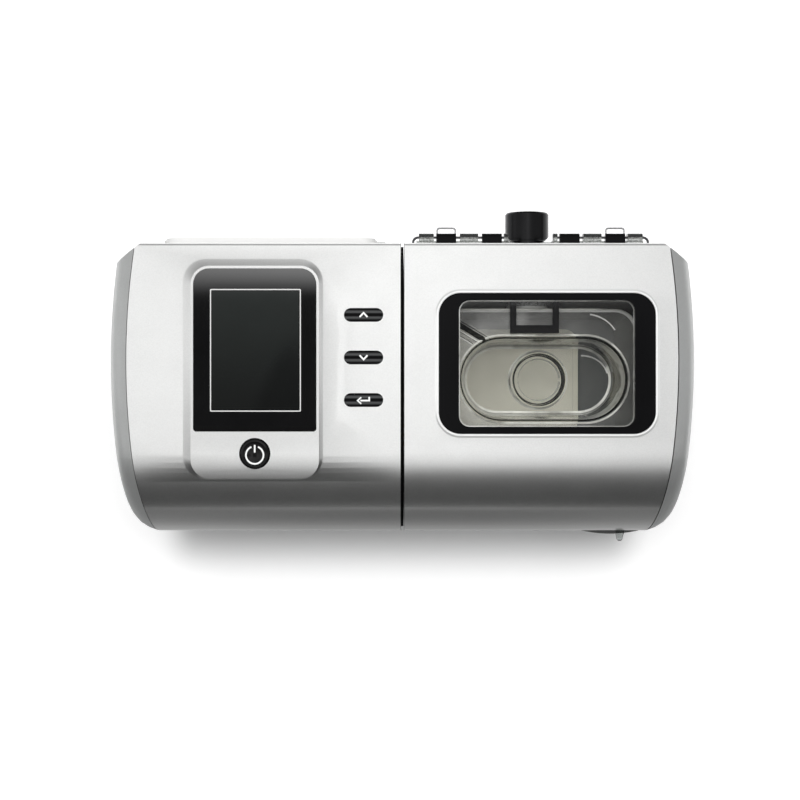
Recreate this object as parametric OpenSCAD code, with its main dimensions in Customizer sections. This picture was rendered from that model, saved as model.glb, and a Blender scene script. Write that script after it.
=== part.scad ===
// Table-top bilevel breathing machine: a blower unit on the left and a heated humidifier on the right.
// Millimetres. +Z is up, the rear is +Y, and the origin is under the middle of the overall box.

/* [Casing] */
// Overall width across both end panels
body_w = 287.2; // [267:0.2:307]
// Depth of the casing without the outlet
body_d = 143.5; // [138:0.5:152]
// Height of the top face above the table
body_h = 111; // [108:0.5:118]
// Wall of the moulded casings
wall = 2.4; // [2:0.1:3]
// Radius of the curve from the top face to the front
front_r = 42; // [36:1:48]
// Radius of the two lower edges
low_r = 7; // [4:0.5:9]
// Radius of the rear top edge
rear_r = 1.6; // [1:0.1:3]
// Radius in plan of the bowed ends
side_r = 388.6; // [340:0.2:460]
// Gap between the two units
unit_gap = 1.5; // [1:0.1:2]
// Height of the joint between the blower unit's cover and base
split_z = 46; // [42:1:50]

/* [End panels] */
// Width of the sloping silver band
band_w = 9.1; // [7:0.1:11]
// Drop of the sloping band
band_drop = 9; // [7:0.5:11]
// Slope at which the band starts, in degrees
band_start = 20; // [12:1:30]
// Cut across each rear corner
rear_cut = 10; // [8:0.5:12]
// Seam between the end panels and the covers
seam = 0.3; // [0.2:0.05:0.4]

/* [Feet and screws] */
// Height of the rubber feet below the casing
foot_h = 3; // [2:0.5:4]
// Radius of the rubber feet
foot_r = 6; // [5:0.5:8]
// Radius of the casing screws
screw_r = 1.5; // [1.2:0.1:1.8]

/* [Display] */
// Width of the raised island
pod_w = 62.3; // [60:0.5:66]
// Length of the raised island
pod_l = 103.3; // [101:0.5:106]
// Height of the island above the cover
pod_h = 2; // [1.5:0.1:3]
// Corner radius of the island
pod_r = 9; // [7:0.5:11]
// Width of the hollow shoulder on the outer side of the island
shoulder_w = 7; // [5:0.5:9]
// Black margin between the island's edge and the glass
glass_margin = 1.2; // [0.8:0.1:1.6]
// Length of the display glass
glass_l = 79.3; // [76:0.5:82]
// Radius of the glass's two front corners
glass_foot_r = 1.6; // [1:0.1:3]
// Thickness of the display glass
glass_t = 1.6; // [1.2:0.1:2]
// Width of the lit screen
lcd_w = 44; // [40:0.5:48]
// Length of the lit screen
lcd_l = 59.5; // [56:0.5:62]

/* [Buttons] */
// Radius of the power button
power_r = 7.4; // [6.5:0.1:8]
// Length of each key
key_w = 18.7; // [17:0.1:20]
// Width of each key
key_d = 6.3; // [5.5:0.1:7]
// Distance from one key to the next
key_pitch = 20.7; // [18:0.1:22]
// How far the buttons stand proud
key_proud = 0.6; // [0.4:0.1:0.9]
// Travel of the power button and the keys
key_travel = 0.8; // [0.5:0.1:0.9]
// Running gap round the buttons
key_gap = 0.2; // [0.15:0.05:0.3]

/* [Lid and window] */
// Width of the black window frame
bezel_w = 105.5; // [102:0.5:108]
// Length of the black window frame
bezel_l = 68.6; // [66:0.5:70]
// Corner radius of the black window frame
bezel_r = 10.7; // [9:0.1:13]
// Width of the clear opening
pane_w = 85.8; // [82:0.5:88]
// Length of the clear opening
pane_l = 61.8; // [59:0.5:63]
// Thickness of the window pane
pane_t = 1.8; // [1.5:0.1:2]
// Depth of the lid at its front edge
lid_front_h = 49; // [47:0.5:52]
// Depth of the lid at the rear
lid_rear_h = 13; // [12:0.5:15]
// Gap between the lid and the base
lid_gap = 0.5; // [0.4:0.1:0.8]
// Gap between the lid and the end panel
lid_seam = 0.5; // [0.45:0.05:0.7]
// How far the lid's release tab stands out at the front
latch_out = 5.7; // [4:0.1:7]
// Width of the release tab
latch_w = 4.2; // [3.6:0.1:5]
// Length of the dark finger lip under the lid's edge
lip_w = 31; // [26:0.5:31]
// How far the finger lip stands out at its middle
lip_out = 2.6; // [1.6:0.1:3.2]

/* [Hinge] */
// Distance of the hinge pin behind the casing
hinge_out = 3.6; // [3.4:0.1:4.5]
// Depth of the hinge pin below the top face
hinge_drop = 10; // [9.5:0.1:10.5]
// Radius of the hinge pin
pin_r = 0.6; // [0.5:0.05:0.8]
// Running clearance of the hinge pin
pin_fit = 0.05; // [0.02:0.01:0.08]
// Outer radius of the hinge knuckles
knuckle_r = 2; // [1.8:0.1:2.3]
// Width of the hinge knuckles
knuckle_w = 9.8; // [9:0.1:10]
// Distance between neighbouring knuckles
knuckle_pitch = 11.25; // [10.9:0.05:11.5]
// Radius of the wire loops on the outer knuckles
wire_r = 0.45; // [0.3:0.05:0.5]

/* [Outlet] */
// Radius of the air outlet
outlet_r = 11; // [10.9:0.05:11.2]
// Radius of the air passage
outlet_bore_r = 9; // [8:0.1:9.5]
// Length of the outlet behind the casing
outlet_out = 18; // [16:0.5:24]
// Depth of the outlet's axis below the top face
outlet_drop = 31; // [30:0.5:33]

/* [Water tank] */
// Width of the tank
tank_w = 104; // [100:1:106]
// Length of the tank
tank_l = 72; // [70:1:74]
// Height of the tank's floor
tank_z = 22; // [20:0.5:24]
// Depth of the tank's rim below the top face
rim_drop = 21; // [20:0.5:22]
// Wall of the tank
tank_wall = 1.8; // [1.5:0.1:2.2]
// Length of the oval well in the tank cover
well_w = 82.9; // [80:0.5:84]
// Width of the oval well in the tank cover
well_d = 41.3; // [39:0.5:43]
// Depth of the well below the tank's rim
well_depth = 28; // [24:1:32]
// Draft of the well's walls, from top to floor
well_draft = 3.3; // [2.5:0.1:4]
// Radius of the fill cap
cap_r = 13; // [11:0.5:14]

/* [Blower] */
// Radius of the fan wheel
fan_r = 24; // [22:0.5:25]
// Height of the fan wheel
fan_h = 14; // [12:0.5:15]
// Number of blades on the fan wheel
blades = 11; // [7:1:13]
// Radius of the motor
motor_r = 17; // [15:0.5:19]
// Depth of the air port between the two units below the top face
port_drop = 41; // [40:0.5:42]
// Radius of the air port
port_r = 7.6; // [7:0.1:8]

/* [Hidden] */
$fn = 64;

// Places that the other dimensions set
total_d = latch_out + body_d + outlet_out;
rear_y = total_d / 2 - outlet_out;
front_y = latch_out - total_d / 2;
curve_y = front_y + front_r;
curve_z = body_h - front_r;
half_w = body_w / 2;
side_cx = half_w - side_r;
side_cy = front_y + 86;
border_r = side_r - band_w;
floor_z = foot_h + wall;
inner_top = body_h - wall;
cut = 1;

// Heights that follow the top face
lid_front_z = body_h - lid_front_h;
lid_rear_z = body_h - lid_rear_h;
hinge_z = body_h - hinge_drop;
outlet_z = body_h - outlet_drop;
rim_z = body_h - rim_drop;
well_z = rim_z - well_depth;
port_z = body_h - port_drop;

// Display island and buttons
pod_x = -0.4988 * half_w;
pod_rear = rear_y - 11.4;
pod_y = pod_rear - pod_l / 2;
pod_front = pod_rear - pod_l;
pod_top = body_h + pod_h;
glass_w = pod_w - 2 * glass_margin;
glass_y = pod_rear - glass_margin - glass_l / 2;
glass_r = pod_r - glass_margin;
ledge = 2.5;
power_y = pod_front + 12.2;
key_x = -18.9;
key_y = front_y + 0.611 * body_d;
board_t = 1.6;
board_top = inner_top - 4;
board_bottom = board_top - board_t;
board_x0 = 37.6 - half_w;
board_x1 = key_x + 11.9;
board_y0 = power_y - 11;
board_y1 = pod_rear - 2;
membrane_t = 1;
stem_z = board_top + membrane_t + 0.4 + key_travel;
board_hole_r = 1.1;
board_bosses = [[board_x0 + 4, board_y0 + 4], [board_x0 + 4, board_y1 - 4],
                [board_x1 - 4, board_y0 + 4], [board_x1 - 4, board_y1 - 4]];

// Blower
fan_x = -0.4877 * half_w;
fan_y = front_y + 0.383 * body_d;
scroll_floor = port_z - 12;
scroll_wall = 2;
scroll_in_z = scroll_floor + 2.4;
scroll_top = port_z + 12;
scroll_r0 = fan_r + 3;
scroll_r1 = fan_r + 22;
scroll_mid = (scroll_r0 + scroll_r1) / 2;
scroll_end = -13;
port_y = fan_y + scroll_mid;
spigot_wall = 1.6;
spigot_r = port_r + spigot_wall;
bellows_t = 1.4;
bellows_fold = 2;
eye_r = fan_r * 0.5;
shaft_r = 2;
shaft_hole_r = 2.4;
motor_h = 22;
fan_z = scroll_in_z + 1.6;
lug_r = 48;
lug_pad = 5;
lugs = [150, 230, 320];
mount_h = 5;
mount_z = scroll_floor - mount_h;

// Rear air filter
filter_x0 = 24.6 - half_w;
filter_x1 = -12.5;
filter_z1 = body_h - 13;
filter_z0 = filter_z1 - 40;
socket_x = -30;
socket_z = 23;
filter_out = 4;
filter_edge = 5;
filter_t = 3;

// Humidifier
tank_x = 0.4594 * half_w;
tank_y = front_y + 0.535 * body_d;
window_x = tank_x + 4.4;
window_y = tank_y + 8;
outlet_x = tank_x - 2.8;
tank_r = 12;
tank_floor_t = 2;
well_x = window_x;
well_y = window_y - 7.35;
cover_t = 2.4;
cover_top = rim_z + cover_t + 1;
seal_t = 1;
tray_t = 1.8;
tray_gap = 0.8;
tray_top = port_z - 14;
plate_t = 1.2;
plate_x0 = tank_x - tank_w / 2 + 6;
plate_x1 = tank_x + 30.3;
heater_z = tank_z - 0.3 - plate_t;
tray_z = heater_z - 3.2;
bezel_proud = 0.4;
bead_w = 1;
bead_h = 0.6;
frame_t = 3;
frame_gap = 0.15;
frame_z = inner_top - frame_t;
frame_x0 = window_x - 58;
frame_x1 = window_x + 54;
frame_y0 = max(window_y - 42, curve_y + 0.5);
frame_y1 = rear_y - 6;
pane_lip = 3;
hinge_y = rear_y + hinge_out;
lid_slope = (lid_rear_z - lid_front_z) / body_d;
latch_x = half_w - 31.6;
latch_pivot_y = front_y + 5.6;
latch_pivot_z = lid_front_z + 10;
latch_pin_r = 1;
latch_fit = 0.05;
latch_foot_z = lid_front_z - 6.5;
lip_x = half_w - 35.5;
lip_z0 = lid_front_z - 7;
frame_posts = [for (x = [-46, 46], y = [-38.2, 42]) [window_x + x, window_y + y]];
dock_y = front_y + 0.335 * body_d;
dock_z = 30;
dock_pitch = 5;
dock_pin_r = 1;

// Casing screws and feet, as places in plan
boss_x = half_w - 25.6;
foot_x = half_w - 31.6;
blower_bosses = [[-boss_x, front_y + 22], [-boss_x, rear_y - 14], [-9, front_y + 22], [-9, rear_y - 7]];
humidifier_bosses = [[9, front_y + 14], [boss_x, front_y + 16], [9, rear_y - 9], [boss_x + 3, rear_y - 12]];
left_feet = [[-foot_x, front_y + 14], [-foot_x, rear_y - 28], [-22, front_y + 14], [-22, rear_y - 28]];
right_feet = [[22, front_y + 28], [foot_x - 8, front_y + 28], [22, rear_y - 22], [foot_x - 8, rear_y - 22]];

// A flat shape in plan, raised from z0 to z1
module slab(z0, z1) {
  translate([0, 0, z0]) linear_extrude(z1 - z0) children();
}

// A flat shape in Y and Z, run from x0 to x1
module along_x(x0, x1) {
  translate([x0, 0, 0]) rotate([90, 0, 90]) linear_extrude(x1 - x0) children();
}

// A flat shape in X and Z, run from y0 to y1
module along_y(y0, y1) {
  translate([0, y1, 0]) rotate([90, 0, 0]) linear_extrude(y1 - y0) children();
}

// A rod along X
module rod_x(x0, x1, y, z, r) {
  along_x(x0, x1) translate([y, z]) circle(r);
}

// A rod along Y
module rod_y(y0, y1, x, z, r) {
  along_y(y0, y1) translate([x, z]) circle(r);
}

// A rod along Z
module rod_z(z0, z1, x, y, r) {
  translate([x, y, z0]) cylinder(h = z1 - z0, r = r);
}

module block(x0, x1, y0, y1, z0, z1) {
  translate([x0, y0, z0]) cube([x1 - x0, y1 - y0, z1 - z0]);
}

module rounded_rect(w, l, r) {
  square([w - 2 * r, l], center = true);
  square([w, l - 2 * r], center = true);
  for (x = [-1, 1], y = [-1, 1]) translate([x * (w / 2 - r), y * (l / 2 - r)]) circle(r);
}

module stadium(w, d) {
  square([w - d, d], center = true);
  for (x = [-1, 1]) translate([x * (w - d) / 2, 0]) circle(d / 2);
}

// The casing's side view, moved in by a distance
module section(inset) {
  y0 = front_y + inset;
  y1 = rear_y - inset;
  z0 = foot_h + inset;
  z1 = body_h - inset;
  rf = front_r - inset;
  rl = max(low_r - inset, 0.4);
  rr = max(rear_r - inset, 0.4);
  polygon([[y0 + rf, z1], [y1 - rr, z1], [y1, z1 - rr], [y1, z0 + rl],
           [y1 - rl, z0], [y0 + rl, z0], [y0, z0 + rl], [y0, z1 - rf]]);
  translate([y0 + rf, z1 - rf]) circle(rf);
  translate([y1 - rr, z1 - rr]) circle(rr);
  translate([y1 - rl, z0 + rl]) circle(rl);
  translate([y0 + rl, z0 + rl]) circle(rl);
}

// The outer form of the right unit up to its silver band, moved in by a distance
module unit_form(inset) {
  intersection() {
    along_x(unit_gap / 2 + inset, half_w) section(inset);
    translate([side_cx, side_cy, 0]) cylinder(h = body_h + cut, r = border_r - seam / 2 - inset, $fn = 360);
    slab(-cut, body_h + 2 * cut) rear_corner(inset);
  }
}

// One end panel: the side view shrinks as the bowed end grows, which makes the rounded band
module end_form(inset) {
  hull() for (a = [band_start : (90 - band_start) / 4 : 90]) {
    out = band_w * (sin(a) - sin(band_start)) / (1 - sin(band_start));
    drop = band_drop * (cos(band_start) - cos(a)) / cos(band_start);
    intersection() {
      along_x(half_w - band_w - 30, half_w) section(drop + inset, $fn = 72);
      translate([side_cx, side_cy, 0]) cylinder(h = body_h, r = border_r + out - inset, $fn = 360);
      slab(0, body_h) rear_corner(inset);
    }
  }
}

// Plan outline that cuts the rear corner off
module rear_corner(inset) {
  x1 = half_w + 1;
  x0 = half_w - 2.5 - 1.39 * rear_cut;
  polygon([[0, front_y - 1], [x1, front_y - 1], [x1, rear_y - rear_cut - 4 - inset],
           [half_w - 2.5 - inset, rear_y - rear_cut - inset], [x0 - inset, rear_y - inset],
           [0, rear_y - inset]]);
}

module end_panel() {
  color("silver") difference() {
    end_form(0);
    end_form(wall);
    translate([side_cx, side_cy, -cut]) cylinder(h = body_h + 2 * cut, r = border_r + seam / 2, $fn = 360);
  }
}

// Height of the cover's outside at a place along Y
function cover_z(y) =
  y > curve_y ? body_h : curve_z + sqrt(front_r * front_r - (curve_y - y) * (curve_y - y));

// Points round a rectangle with round corners, from x0, y0 to x1, y1
function round_outline(x0, y0, x1, y1, r, n = 6) = [
  for (c = [[x1 - r, y1 - r, 0], [x0 + r, y1 - r, 90], [x0 + r, y0 + r, 180], [x1 - r, y0 + r, 270]])
    for (k = [0 : n]) [c[0] + r * cos(c[2] + 90 * k / n), c[1] + r * sin(c[2] + 90 * k / n)]
];

// The hollow shoulder that runs up from the cover to the island
module pod_shoulder() {
  steps = 5;
  x0 = pod_x - pod_w / 2;
  x1 = pod_x + pod_w / 2;
  sunk = 1;
  top = round_outline(x0 + sunk, pod_front + sunk, x1 - sunk, pod_rear - sunk, pod_r - sunk);
  foot = round_outline(x0 - shoulder_w, pod_front - 1.5, x1 + shoulder_w / 2, pod_rear + shoulder_w * 0.85,
                       pod_r + shoulder_w * 0.6);
  count = len(top);
  rings = [
    for (k = [0 : steps]) let (t = k / steps)
      [for (i = [0 : count - 1]) let (p = foot[i] * (1 - t) + top[i] * t)
        [p[0], p[1], cover_z(p[1]) - 0.25 + (pod_h * 0.85 + 0.25) * (1 - cos(90 * t))]]
  ];
  base = [for (p = foot) [p[0], p[1], cover_z(p[1]) - 1.4]];
  inner = [for (p = top) [p[0], p[1], cover_z(p[1]) - 1.4]];
  all_rings = concat([base], rings, [inner]);
  levels = len(all_rings);
  points = [for (r = all_rings) for (p = r) p];
  faces = [
    for (k = [0 : levels - 1]) for (i = [0 : count - 1]) let (
      a = k * count + i,
      b = k * count + (i + 1) % count,
      c = ((k + 1) % levels) * count + (i + 1) % count,
      d = ((k + 1) % levels) * count + i
    ) each [[a, c, b], [a, d, c]]
  ];
  polyhedron(points, faces);
}

module pod_outline(inset) {
  translate([pod_x, pod_y]) rounded_rect(pod_w - 2 * inset, pod_l - 2 * inset, pod_r - inset);
}

// The island follows the cover's own side view, raised by its height
module pod_body(inset, lift) {
  intersection() {
    slab(body_h - 10, pod_top + 1) pod_outline(inset);
    along_x(pod_x - pod_w, pod_x + pod_w) section(-lift);
  }
}

module key_hole(y, grow) {
  translate([key_x, y]) stadium(key_w + 2 * grow, key_d + 2 * grow);
}

module glass_outline(inset) {
  foot_r = max(glass_foot_r - inset, 0.4);
  translate([pod_x, glass_y]) {
    rounded_rect(glass_w - 2 * inset, glass_l - 2 * inset, glass_r - inset);
    translate([0, -glass_l / 4]) rounded_rect(glass_w - 2 * inset, glass_l / 2 - 2 * inset, foot_r);
  }
}

module filter_outline(inset) {
  translate([(filter_x0 + filter_x1) / 2, (filter_z0 + filter_z1) / 2])
    rounded_rect(filter_x1 - filter_x0 - 2 * inset, filter_z1 - filter_z0 - 2 * inset, 8 - inset / 2);
}

module blower_cover() {
  color("whitesmoke") difference() {
    union() {
      difference() {
        union() {
          mirror([1, 0, 0]) unit_form(0);
          pod_body(0, pod_h);
          pod_shoulder();
        }
        mirror([1, 0, 0]) unit_form(wall);
        pod_body(wall, pod_h - wall);
      }
      intersection() {
        mirror([1, 0, 0]) unit_form(wall / 2);
        union() {
          for (b = blower_bosses) rod_z(split_z, body_h, b[0], b[1], screw_r + 2.4);
          for (b = board_bosses) rod_z(board_top, body_h, b[0], b[1], board_hole_r + 1.6);
        }
      }
    }
    block(-half_w, cut, front_y - cut, rear_y + cut, 0, split_z);
    slab(pod_top - glass_t, pod_top + cut) glass_outline(0);
    slab(body_h - 10, pod_top) glass_outline(ledge);
    rod_z(body_h - 10, pod_top + cut, pod_x, power_y, power_r + key_gap);
    rod_z(body_h - 10, pod_top - wall, pod_x, power_y, power_r + 1.4);
    for (k = [-1, 0, 1]) slab(body_h - 10, body_h + cut) key_hole(key_y + k * key_pitch, key_gap);
    along_y(rear_y - wall - cut, rear_y + cut) filter_outline(filter_edge);
    rod_x(-unit_gap / 2 - wall - cut, cut, port_y, port_z, spigot_r + bellows_t + 0.6);
    for (b = blower_bosses) rod_z(0, split_z + 14, b[0], b[1], screw_r + 0.05);
    for (b = board_bosses) rod_z(board_top - cut, board_top + 3, b[0], b[1], board_hole_r);
  }
}

module blower_base() {
  color("silver") difference() {
    union() {
      difference() {
        mirror([1, 0, 0]) unit_form(0);
        mirror([1, 0, 0]) unit_form(wall);
        block(-half_w, cut, front_y - cut, rear_y + cut, split_z, body_h + cut);
      }
      for (b = blower_bosses) rod_z(floor_z - 1, split_z, b[0], b[1], screw_r + 2.4);
      for (a = lugs) rod_z(floor_z - 1, mount_z, fan_x + lug_r * cos(a), fan_y + lug_r * sin(a), lug_pad);
      block(socket_x - 8, socket_x + 8, rear_y - wall - 10, rear_y - wall + 0.5, floor_z - 1, socket_z - 5.5);
    }
    for (b = blower_bosses) {
      rod_z(0, split_z + cut, b[0], b[1], screw_r + 0.05);
      rod_z(0, floor_z + 4, b[0], b[1], 3.2);
    }
    for (a = lugs) rod_z(mount_z - 12, mount_z + cut, fan_x + lug_r * cos(a), fan_y + lug_r * sin(a), 1.3);
    for (f = left_feet) rod_z(0, foot_h + 1, f[0], f[1], foot_r + 0.05);
    along_y(rear_y - wall - cut, rear_y + cut)
      translate([socket_x, socket_z]) square([11, 11], center = true);
    dock_block(-unit_gap / 2 - wall - cut, cut, 0.05);
  }
}

module left_end_panel() {
  mirror([1, 0, 0]) end_panel();
}

module right_end_panel() {
  end_panel();
}

module display_glass() {
  color([0.05, 0.05, 0.06]) slab(pod_top - glass_t, pod_top) glass_outline(0.1);
}

module lcd_module() {
  color("dimgray") difference() {
    slab(board_top, pod_top - glass_t - 0.3)
      translate([pod_x, glass_y - 0.4]) square([lcd_w + 6, lcd_l + 8], center = true);
    slab(pod_top - glass_t - 0.9, pod_top)
      translate([pod_x, glass_y - 0.4]) square([lcd_w, lcd_l], center = true);
  }
}

// Round button with a dished face and a stem down to its switch
module power_button() {
  top = pod_top + key_proud;
  color([0.06, 0.06, 0.06]) {
    translate([pod_x, power_y, 0]) rotate_extrude()
      polygon([[0, stem_z], [3, stem_z], [3, pod_top - wall - 1.4], [power_r + 1, pod_top - wall - 1.4],
               [power_r + 1, pod_top - wall - 0.1], [power_r, pod_top - wall - 0.1], [power_r, top - 0.9],
               [power_r - 0.8, top - 0.1], [power_r - 1.6, top], [power_r - 2.4, top - 0.35],
               [0, top - 0.35]]);
  }
}

// Capsule key with a raised band along it and a stem down to its switch
module key(y) {
  color([0.06, 0.06, 0.06]) {
    slab(inner_top - 1.3, inner_top - 0.1) key_hole(y, 1);
    slab(inner_top - 1.2, body_h + key_proud - 0.25) key_hole(y, 0);
    slab(body_h + key_proud - 0.25, body_h + key_proud) key_hole(y, -1);
    rod_z(stem_z, inner_top - 1.2, key_x, y, 1.8);
  }
}

module key_up() {
  key(key_y + key_pitch);
}

module key_down() {
  key(key_y);
}

module key_enter() {
  key(key_y - key_pitch);
}

// Silicone sheet with a dome under each button
module keypad_membrane() {
  color("lightgray") {
    block(key_x - 8, key_x + 8, key_y - key_pitch - 6, key_y + key_pitch + 6, board_top, board_top + 0.5);
    for (k = [-1, 0, 1]) rod_z(board_top + 0.5, board_top + membrane_t, key_x, key_y + k * key_pitch, 3);
    block(pod_x - 6, pod_x + 6, power_y - 6, power_y + 6, board_top, board_top + 0.5);
    rod_z(board_top + 0.5, board_top + membrane_t, pod_x, power_y, 3);
    block(pod_x + 5, key_x - 7, power_y - 2, power_y + 2, board_top, board_top + 0.5);
    block(key_x - 10, key_x - 6, power_y - 2, key_y - key_pitch, board_top, board_top + 0.5);
  }
}

module control_board() {
  color("darkgreen") difference() {
    union() {
      block(board_x0, board_x1, board_y0, board_y1, board_bottom, board_top);
      block(pod_x - 34, pod_x - 14, glass_y + 4, glass_y + 24, board_bottom - 2, board_bottom);
      block(pod_x + 6, pod_x + 18, glass_y + 8, glass_y + 16, board_bottom - 1.4, board_bottom);
    }
    for (b = board_bosses) rod_z(board_bottom - cut, board_top + cut, b[0], b[1], board_hole_r + 0.1);
  }
}

module board_screws() {
  color("gray") for (b = board_bosses) {
    rod_z(board_bottom - 1.6, board_bottom, b[0], b[1], 2.2);
    rod_z(board_bottom - 0.1, board_top + 2.6, b[0], b[1], board_hole_r - 0.05);
  }
}

// Radius of the scroll at a turn, from the tongue clockwise to the outlet
function scroll_at(t) = scroll_r0 + (scroll_r1 - scroll_r0) * t;

module scroll_shape(grow, end_x) {
  turns = 44;
  polygon(concat(
    [for (k = [0 : turns]) let (a = 60 - 330 * k / turns, r = scroll_at(k / turns) + grow)
      [fan_x + r * cos(a), fan_y + r * sin(a)]],
    [[end_x, fan_y + scroll_r1 + grow], [end_x, fan_y + scroll_r0 - grow],
     [fan_x + 16, fan_y + scroll_r0 - grow]]
  ));
}

// Spiral housing: its outlet runs to a round spigot at the port between the units
module fan_housing() {
  color("lightslategray") difference() {
    union() {
      slab(scroll_floor, scroll_top - 2.4) scroll_shape(scroll_wall, scroll_end + 2);
      rod_x(scroll_end + 1, -2.6, port_y, port_z, spigot_r);
      for (a = lugs) {
        rod_z(scroll_floor, scroll_floor + 3, fan_x + lug_r * cos(a), fan_y + lug_r * sin(a), lug_pad);
        translate([fan_x, fan_y, scroll_floor]) rotate([0, 0, a]) translate([fan_r + 2, -lug_pad + 1, 0])
          cube([lug_r - fan_r - 2, 2 * lug_pad - 2, 2.4]);
      }
    }
    slab(scroll_in_z, scroll_top) scroll_shape(0, scroll_end);
    rod_x(scroll_end - cut, 0, port_y, port_z, port_r);
    rod_z(scroll_floor - cut, scroll_in_z + cut, fan_x, fan_y, shaft_hole_r);
    for (a = lugs) {
      rod_z(scroll_floor - cut, scroll_floor + 4, fan_x + lug_r * cos(a), fan_y + lug_r * sin(a), 1.6);
    }
  }
}

module fan_housing_cover() {
  color("slategray") difference() {
    union() {
      slab(scroll_top - 2.4, scroll_top) scroll_shape(scroll_wall, scroll_end + 2);
      translate([fan_x, fan_y, scroll_top - cut]) rotate_extrude()
        polygon([[eye_r, 0], [eye_r + 6, 0], [eye_r + 3, 2.5], [eye_r + 2, 5], [eye_r, 5]]);
    }
    rod_z(scroll_top - 3, scroll_top + 10, fan_x, fan_y, eye_r);
  }
}

// One backward-curved blade, as a thin crescent in plan
module blade_shape() {
  n = 6;
  r0 = eye_r * 0.75;
  outer = [for (k = [0 : n]) let (r = r0 + (fan_r - 0.6 - r0) * k / n, a = -42 * k / n)
    [r * cos(a), r * sin(a)]];
  inner = [for (k = [n : -1 : 0]) let (r = r0 + (fan_r - 0.6 - r0) * k / n, a = -42 * k / n - 70 / r)
    [r * cos(a), r * sin(a)]];
  polygon(concat(outer, inner));
}

module fan_wheel() {
  color("white") translate([fan_x, fan_y, fan_z]) difference() {
    union() {
      rotate_extrude() polygon([[0, 0], [fan_r, 0], [fan_r, 1.2], [8, 1.8], [5, 7], [0, 8]]);
      for (k = [0 : blades - 1]) rotate([0, 0, 360 * k / blades]) translate([0, 0, 0.6])
        linear_extrude(fan_h - 2) blade_shape();
      difference() {
        translate([0, 0, fan_h - 1.6]) cylinder(h = 1.4, r = fan_r);
        translate([0, 0, fan_h - 3]) cylinder(h = 4, r = eye_r);
      }
    }
    translate([0, 0, -cut]) cylinder(h = 7, r = shaft_r);
  }
}

module fan_motor() {
  z1 = scroll_floor;
  color("gray") difference() {
    union() {
      rod_z(z1 - motor_h, z1, fan_x, fan_y, motor_r);
      rod_z(z1 - motor_h - 2, z1 - motor_h + 1, fan_x, fan_y, 6);
    }
    rod_z(z1 - motor_h - 1, z1 + cut, fan_x, fan_y, shaft_hole_r - 0.34);
  }
}

module motor_shaft() {
  color("silver") rod_z(scroll_floor - motor_h, fan_z + 5.9, fan_x, fan_y, shaft_r);
}

module rubber_mounts() {
  color("black") for (a = lugs) translate([fan_x + lug_r * cos(a), fan_y + lug_r * sin(a), 0]) difference() {
    translate([0, 0, mount_z]) rotate_extrude()
      polygon([[0, 0], [lug_pad, 0], [lug_pad, 1.4], [lug_pad - 1.2, 2], [lug_pad - 1.2, 3], [lug_pad, 3.6],
               [lug_pad, mount_h], [0, mount_h]]);
    translate([0, 0, mount_z - cut]) cylinder(h = mount_h + 2 * cut, r = 1.6);
  }
}

module mount_screws() {
  color("silver") for (a = lugs) {
    x = fan_x + lug_r * cos(a);
    y = fan_y + lug_r * sin(a);
    rod_z(scroll_floor + 3, scroll_floor + 5, x, y, 3);
    rod_z(mount_z - 9, scroll_floor + 3.1, x, y, 1.25);
  }
}

// Silicone sleeve from the blower's spigot to the tank's inlet
module port_bellows() {
  r0 = spigot_r + 0.1;
  r1 = r0 + bellows_t;
  x1 = tank_x - tank_w / 2 - 0.3;
  fold = bellows_fold;
  color("dimgray") translate([0, port_y, port_z]) rotate([0, 90, 0]) rotate_extrude()
    polygon([[r0, -8], [r1, -8], [r1, 3.5], [r1 + fold, 5], [r1 + fold, 6], [r1, 7.5], [r1, 8.5],
             [r1 + fold, 10], [r1 + fold, x1], [port_r, x1], [port_r, x1 - 1.2], [r0 + fold, x1 - 1.2],
             [r0 + fold, 10.6], [r0, 9], [r0, 7], [r0 + fold, 5.5], [r0, 4]]);
}

module silencer_foam() {
  color([0.25, 0.25, 0.27]) difference() {
    block(filter_x0 + 10, filter_x1 - 5.5, rear_y - 26, rear_y - wall - filter_t - 1,
          filter_z0 + 2, filter_z1 - 2);
    for (k = [0 : 5]) rod_y(rear_y - 30, rear_y, filter_x0 + 22 + 14 * k, (filter_z0 + filter_z1) / 2, 4.5);
  }
}

module air_filter() {
  color("lightsteelblue")
    along_y(rear_y - wall - filter_t - 0.3, rear_y - wall - 0.3) filter_outline(filter_edge - 2);
}

// Louvred cover of the rear air inlet
module filter_cover() {
  slots = 6;
  pitch = 4.6;
  mid = (filter_z0 + filter_z1) / 2;
  color("whitesmoke") difference() {
    union() {
      along_y(rear_y + 0.3, rear_y + filter_out - 1) filter_outline(0);
      along_y(rear_y + filter_out - 1, rear_y + filter_out) filter_outline(1);
      along_y(rear_y - wall + 0.2, rear_y + 0.4) difference() {
        filter_outline(filter_edge + 0.3);
        filter_outline(filter_edge + 1.8);
      }
    }
    for (k = [0 : slots - 1]) along_y(rear_y - wall - cut, rear_y + filter_out + cut)
      translate([(filter_x0 + filter_x1) / 2, mid + (k - (slots - 1) / 2) * pitch]) stadium(84, 2.2);
  }
}

module filter_latch() {
  color([0.08, 0.08, 0.08]) {
    block(filter_x1 + 0.1, filter_x1 + 4, rear_y + 0.4, rear_y + 3, filter_z1 - 24, filter_z1 - 12);
  }
}

module power_socket() {
  color([0.08, 0.08, 0.08]) difference() {
    union() {
      along_y(rear_y - wall - 11, rear_y) translate([socket_x, socket_z]) square([10.8, 10.8], center = true);
      along_y(rear_y - wall - 1.6, rear_y - wall - 0.1)
        translate([socket_x, socket_z + 0.5]) square([15, 12], center = true);
    }
    difference() {
      rod_y(rear_y - 10, rear_y + cut, socket_x, socket_z, 3.2);
      rod_y(rear_y - 10, rear_y - 1.5, socket_x, socket_z, 1.2);
    }
  }
}

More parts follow.
